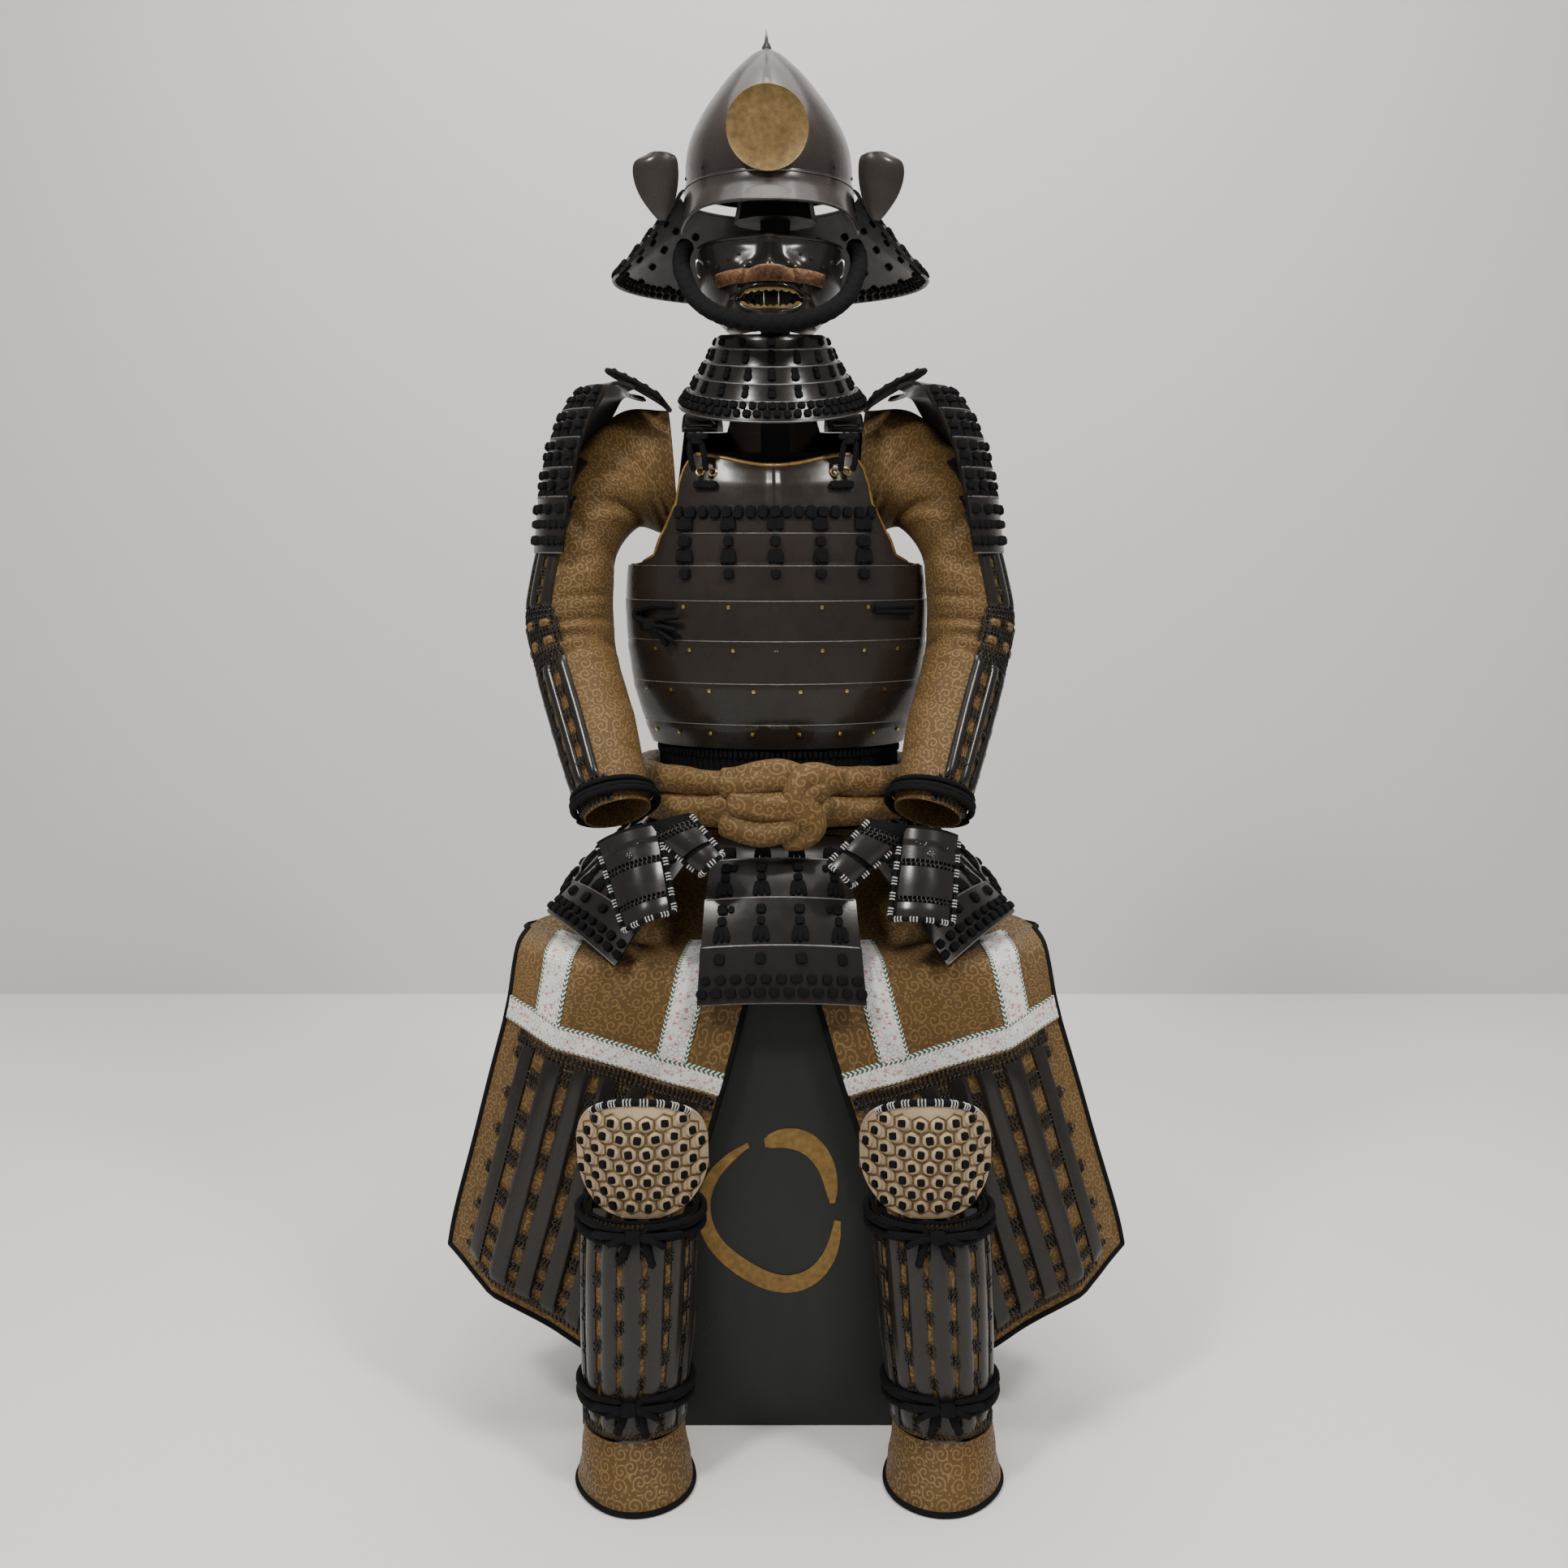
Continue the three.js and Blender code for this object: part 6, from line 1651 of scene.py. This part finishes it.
bands = [(band(apron, (6, 7), (0.05, COLS - 0.05), 8, 90, True), BRAID)]
for a, b in ((0.18, 0.315), (0.74, 0.865)):
    bands.append((band(apron, (2.1, 6.05), (float(q_to_col(a)), float(q_to_col(b))), 60, 10, False), BRAID))
pair("apron_braids", merged(bands), "apron_bands")

# ------------------------------------------------------------------ shins, knees and feet

SHIN = [(308, 154, 61, 60), (240, 158, 61, 62), (170, 161, 59, 60), (110, 165, 55, 56), (64, 167, 53, 54)]


def shin_point(z, degrees, out=0.0):
    z = np.asarray(z, float)
    p = around(-285, column(SHIN, 2, z) + out, column(SHIN, 3, z) + out, degrees, z)
    p[..., 0] += column(SHIN, 1, z)
    return p


shin = Sheet([shin_point(np.full(29, z), np.linspace(-112, 112, 29)) for z in np.linspace(308, 64, 15)])
shin_cloth = (shell(shin, (0, 14), (0, 28), 28, 44, (-2.2, -0.4)), DAMASK)
legs = [shin_cloth]
for t in (0.0, 28.0):
    legs.append((tube(shin.place(np.linspace(0, 14, 40), np.full(40, t), -0.8), 2.4, 8), SILK))
legs.append((tube(shin.place(np.zeros(40), np.linspace(0, 28, 40), -0.8), 2.2, 8), SILK))
shin_cols = np.array([5.0, 8.2, 11.3, 14.3, 17.4, 20.6, 23.8])
for k, c in enumerate(shin_cols):
    low = 13.6 if k < 5 else 13.2
    legs.append((bar(shin, (1.0, low), float(c), 9.6, 28, 8, 0.4, 3.6), LACQUER))
for g, (a, b) in enumerate(zip(shin_cols[:-1], shin_cols[1:])):
    for k in range(6):
        s = 1.6 + 2.15 * k + (0.7 if g % 2 else 0.0)
        if s < 13.2:
            legs.append(mail_patch(shin, (s - 0.42, s + 0.42), (a + 1.08, b - 1.08), 4.8, 2.8, 1.6))
legs.append(mail_patch(shin, (0.1, 1.0), (3.2, 25.5), 5.0, 2.9, 0.6, 1600))
legs.append(mail_patch(shin, (13.3, 13.9), (3.2, 25.5), 5.0, 2.9, 0.6, 1600))
legs.append((shell(shin, (7.2, 13.8), (0.4, 6.6), 24, 16, (0.6, 2.6)), DARK_LEATHER))
pair("shin_splints", merged(legs), "shin_guard")

KX, KF, KZ, KW, KH = 150.0, -352.0, 372.0, 69.0, 62.0


def knee_point(x, z):
    v = (z - KZ) / KH
    y = KF + 58 * (x / KW) ** 2 + 12 * v * v
    return np.stack(np.broadcast_arrays(KX + x, y, z), -1)


def knee_half(v):
    return KW * (1 - np.minimum(np.abs(v), 0.999) ** 2.6) ** (1 / 2.6)


vs = np.linspace(-0.985, 0.985, 45)
rows = [knee_point(knee_half(v) * np.linspace(-1, 1, 41), np.full(41, KZ - KH * v)) for v in vs]
knee = Sheet(rows)
caps = [(shell(knee, (0, 44), (0, 40), 40, 40, (-4.5, -0.4)), TAN)]
PITCH = 17.4
hexes = []
for j in range(-4, 5):
    for i in range(-4, 5):
        x, z = (i + 0.5 * (j % 2)) * PITCH, KZ - 2 - j * PITCH * 0.835
        half = float(knee_half((z - KZ) / KH))
        if abs(x) < half - 7.0 and abs(z - KZ) < KH - 7:
            hexes.append((x, z))
hexes = np.array(hexes)


def knee_axes(x, z, h):
    p = knee_point(x, z)
    dx, dz = knee_point(x + 0.5, z) - p, knee_point(x, z - 0.5) - p
    right, n = unit(dx), unit(np.cross(dz, dx))
    return p + n * np.asarray(h)[..., None] if np.ndim(h) else p + n * h, right, np.cross(right, n), n


corner_a = np.radians(np.arange(6) * 60)
for x, z in hexes:
    ring_xz = np.stack([x + PITCH * 0.555 * np.sin(corner_a), z + PITCH * 0.555 * np.cos(corner_a)], -1)
    pts = []
    for k in range(6):
        for f in (0.06, 0.5, 0.94):
            pts.append(lerp(ring_xz[k], ring_xz[(k + 1) % 6], f))
    pts = np.array(pts)
    p, _, _, _ = knee_axes(pts[:, 0], pts[:, 1], 0.25)
    caps.append((tube(p, 0.85, 5, closed=True), DULL_GOLD))
for x, z in hexes:
    a = np.radians(np.arange(12) * 30)
    o, r, d, n = knee_axes(np.array([x]), np.array([z]), 0.0)
    radii = [(7.6, -0.3), (6.9, 1.4), (5.0, 2.2), (0.1, 2.4)]
    v = np.concatenate([o + rr * (np.cos(a)[:, None] * r + np.sin(a)[:, None] * d) + hh * n for rr,
        hh in radii])
    f = [[k * 12 + i, k * 12 + (i + 1) % 12, (k + 1) * 12 + (i + 1) % 12,
        (k + 1) * 12 + i] for k in range(3) for i in range(12)]
    caps.append(((v, np.array(f)[:, ::-1], None), TAN))
o, r, d, n = knee_axes(hexes[:, 0], hexes[:, 1], 3.2)
caps.append((stamp(pebble(3, 0.45), (o, r, d, n),
    np.array([4.1, 4.1, 3.2]) * (1 + rng.uniform(-0.1, 0.1, (len(o), 3))), rng.uniform(-0.2, 0.2, len(o))),
        SILK))
round_v = np.concatenate([np.linspace(-0.985, 0.985, 40), np.linspace(0.985, -0.985, 40)])
round_x = np.concatenate([knee_half(np.linspace(-0.985, 0.985, 40)),
    -knee_half(np.linspace(0.985, -0.985, 40))])
rim = knee_axes(round_x, KZ - KH * round_v, -1.2)[0]
caps.append((tube(rim, 2.0, 8, closed=True), TAN))
arc_x = np.linspace(-1, 1, 60)
arc_v = -0.985 * np.sqrt(np.clip(1 - np.abs(arc_x * 0.93) ** 2.2, 0, 1))
arc = np.stack([arc_x * KW * 0.96, KZ - (KH + 2.5) * arc_v * 1.0], -1)
braid_path = knee_point(arc[:, 0], arc[:, 1] * 1.0) + np.array([0, 1.0, 0])
caps += edge_braid(braid_path[6:-6], 4.0)
pair("knee_leather", merged(caps), "knee_cap")


def tie_path(z):
    start, end = shin_point(z - 30, 14, 9.7), shin_point(z - 34, -16, 9.7)
    a = np.linspace(-172, 172, 15)
    turns = np.array([shin_point(z + 12 * k / 344, k + 180, 5.7) for k in a])
    turns[:, 1] = np.minimum(turns[:, 1], -285 + 40)
    return np.concatenate([[start], turns, [end]])


for place, z in (("upper", 296), ("lower", 104)):
    for side in ("left", "right"):
        more = []
        for k, (up, out) in enumerate(((7.5, 6.4), (-6.5, 6.4))):
            a = np.linspace(-172, 172, 60)
            loop = np.array([shin_point(z + up + 1.5 * math.sin(math.radians(3 * x)), x + 180,
                out) for x in a])
            loop[:, 1] = np.minimum(loop[:, 1], -285 + 40)
            more.append((tube(loop, 4.0, 10, 3, 10.0), SILK))
        centre = shin_point(z + 1, 2, 10.5)
        more.append((stamp(PEBBLE, (centre[None], np.array([[1.0, 0, 0]]), np.array([[0, 0, -1.0]]),
            np.array([[0, -1.0, 0]])), (10, 7.5, 7)), SILK))
        for angle, drop in ((24, 9), (-26, 12), (40, 2), (-44, 3)):
            tip = shin_point(z - drop, angle, 10.0)
            mid = shin_point(z + 3 - drop * 0.4, angle * 0.55, 14.0)
            more.append((tube(smooth_path([centre, mid, tip], 16), (np.linspace(3.4, 4.6, 16)), 8, 3, 8.0),
                SILK))
        cord_piece(f"shin_cord_{place}_{side}", tie_path(z), 4.5, f"shin_tie_{place}_{side}", side == "right",
            0.0, 130, 3, 10.0, more)

FOOT = [(63, 168, -284, 54, 58), (40, 168, -290, 57, 70), (18, 167, -296, 60, 79), (0, 166, -298, 64, 82)]


def foot_sheet():
    rows = []
    for z in np.linspace(63, 0.8, 10):
        cx, cy, hw, hd = (float(column(FOOT, k, z)) for k in (1, 2, 3, 4))
        a = np.arange(72) * 5.0
        flat = 1 - 0.035 * np.cos(np.radians(2 * (a - 45))) * (63 - z) / 63
        p = around(cy, hw * flat, hd * flat, a, z)
        p[:, 0] += cx
        rows.append(p)
    return Sheet(rows, closed=True)


foot = foot_sheet()
foot.push = lambda s, t: 1.1 * np.sin(t * 0.35 + s) * smooth(s, 1, 6) * np.sin(t * 0.09)
covers = pair("foot_cloth", [(shell(foot, (0, 8.95), (36, 108), 16, 96, (-1.6, 0.0)), DAMASK)], "foot_cover",
    0.0, 80)
hem_path = foot.place(np.full(90, 8.55), np.linspace(0, 72, 91)[:-1], -0.6)
hem_path[:, 2] = np.maximum(hem_path[:, 2], 3.4)
foot_hems = pair("foot_hem", [(tube(hem_path, 3.3, 8, closed=True), SILK)])

# ------------------------------------------------------------------ room and light


def plane(name, corners, color, rough):
    mesh = bpy.data.meshes.new(name)
    mesh.from_pydata(corners, [], [(0, 1, 2, 3)])
    obj = bpy.data.objects.new(name, mesh)
    bpy.context.scene.collection.objects.link(obj)
    paint = Paint(name + "_paint", color, rough)
    paint.to("Roughness", paint.ramp(paint.noise(3, 3), 0.3, 0.7, rough * 0.95, rough))
    mesh.materials.append(paint.material)
    obj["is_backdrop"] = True
    return obj


plane("floor", [(-8, -8, 0), (8, -8, 0), (8, 8, 0), (-8, 8, 0)], (0.80, 0.79, 0.76), 0.5)
plane("wall", [(-8, 1.72, 0), (8, 1.72, 0), (8, 1.72, 5), (-8, 1.72, 5)], (0.60, 0.585, 0.575), 0.85)


def lamp(name, at, aim, size, watts, color=(1, 1, 1)):
    data = bpy.data.lights.new(name, "AREA")
    data.shape, data.size, data.energy, data.color = "DISK", size, watts, color
    obj = bpy.data.objects.new(name, data)
    obj.location = at
    direction = np.array(aim, float) - at
    obj.rotation_euler = Vector(direction).to_track_quat("-Z", "Y").to_euler()
    bpy.context.scene.collection.objects.link(obj)


lamp("key_left", (-1.3, -1.9, 2.9), (0, 0, 0.9), 0.5, 62, (1.0, 0.97, 0.92))
lamp("key_right", (1.4, -1.7, 2.9), (0, 0, 0.9), 0.5, 55, (1.0, 0.97, 0.92))
lamp("top", (0, -0.4, 3.3), (0, 0.1, 0.8), 1.6, 45, (1.0, 0.98, 0.95))
lamp("wall_wash", (0, 0.6, 3.2), (0, 1.7, 1.2), 2.5, 40, (1.0, 0.98, 0.96))
world = bpy.data.worlds.new("room")
world.use_nodes = True
world.node_tree.nodes["Background"].inputs["Color"].default_value = (0.80, 0.80, 0.82, 1)
world.node_tree.nodes["Background"].inputs["Strength"].default_value = 0.42
bpy.context.scene.world = world

visual_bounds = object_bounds()
plain = lambda b: [[float(x) for x in corner] for corner in b]
{"cad": plain(cad_bounds), "visual": plain(visual_bounds)}
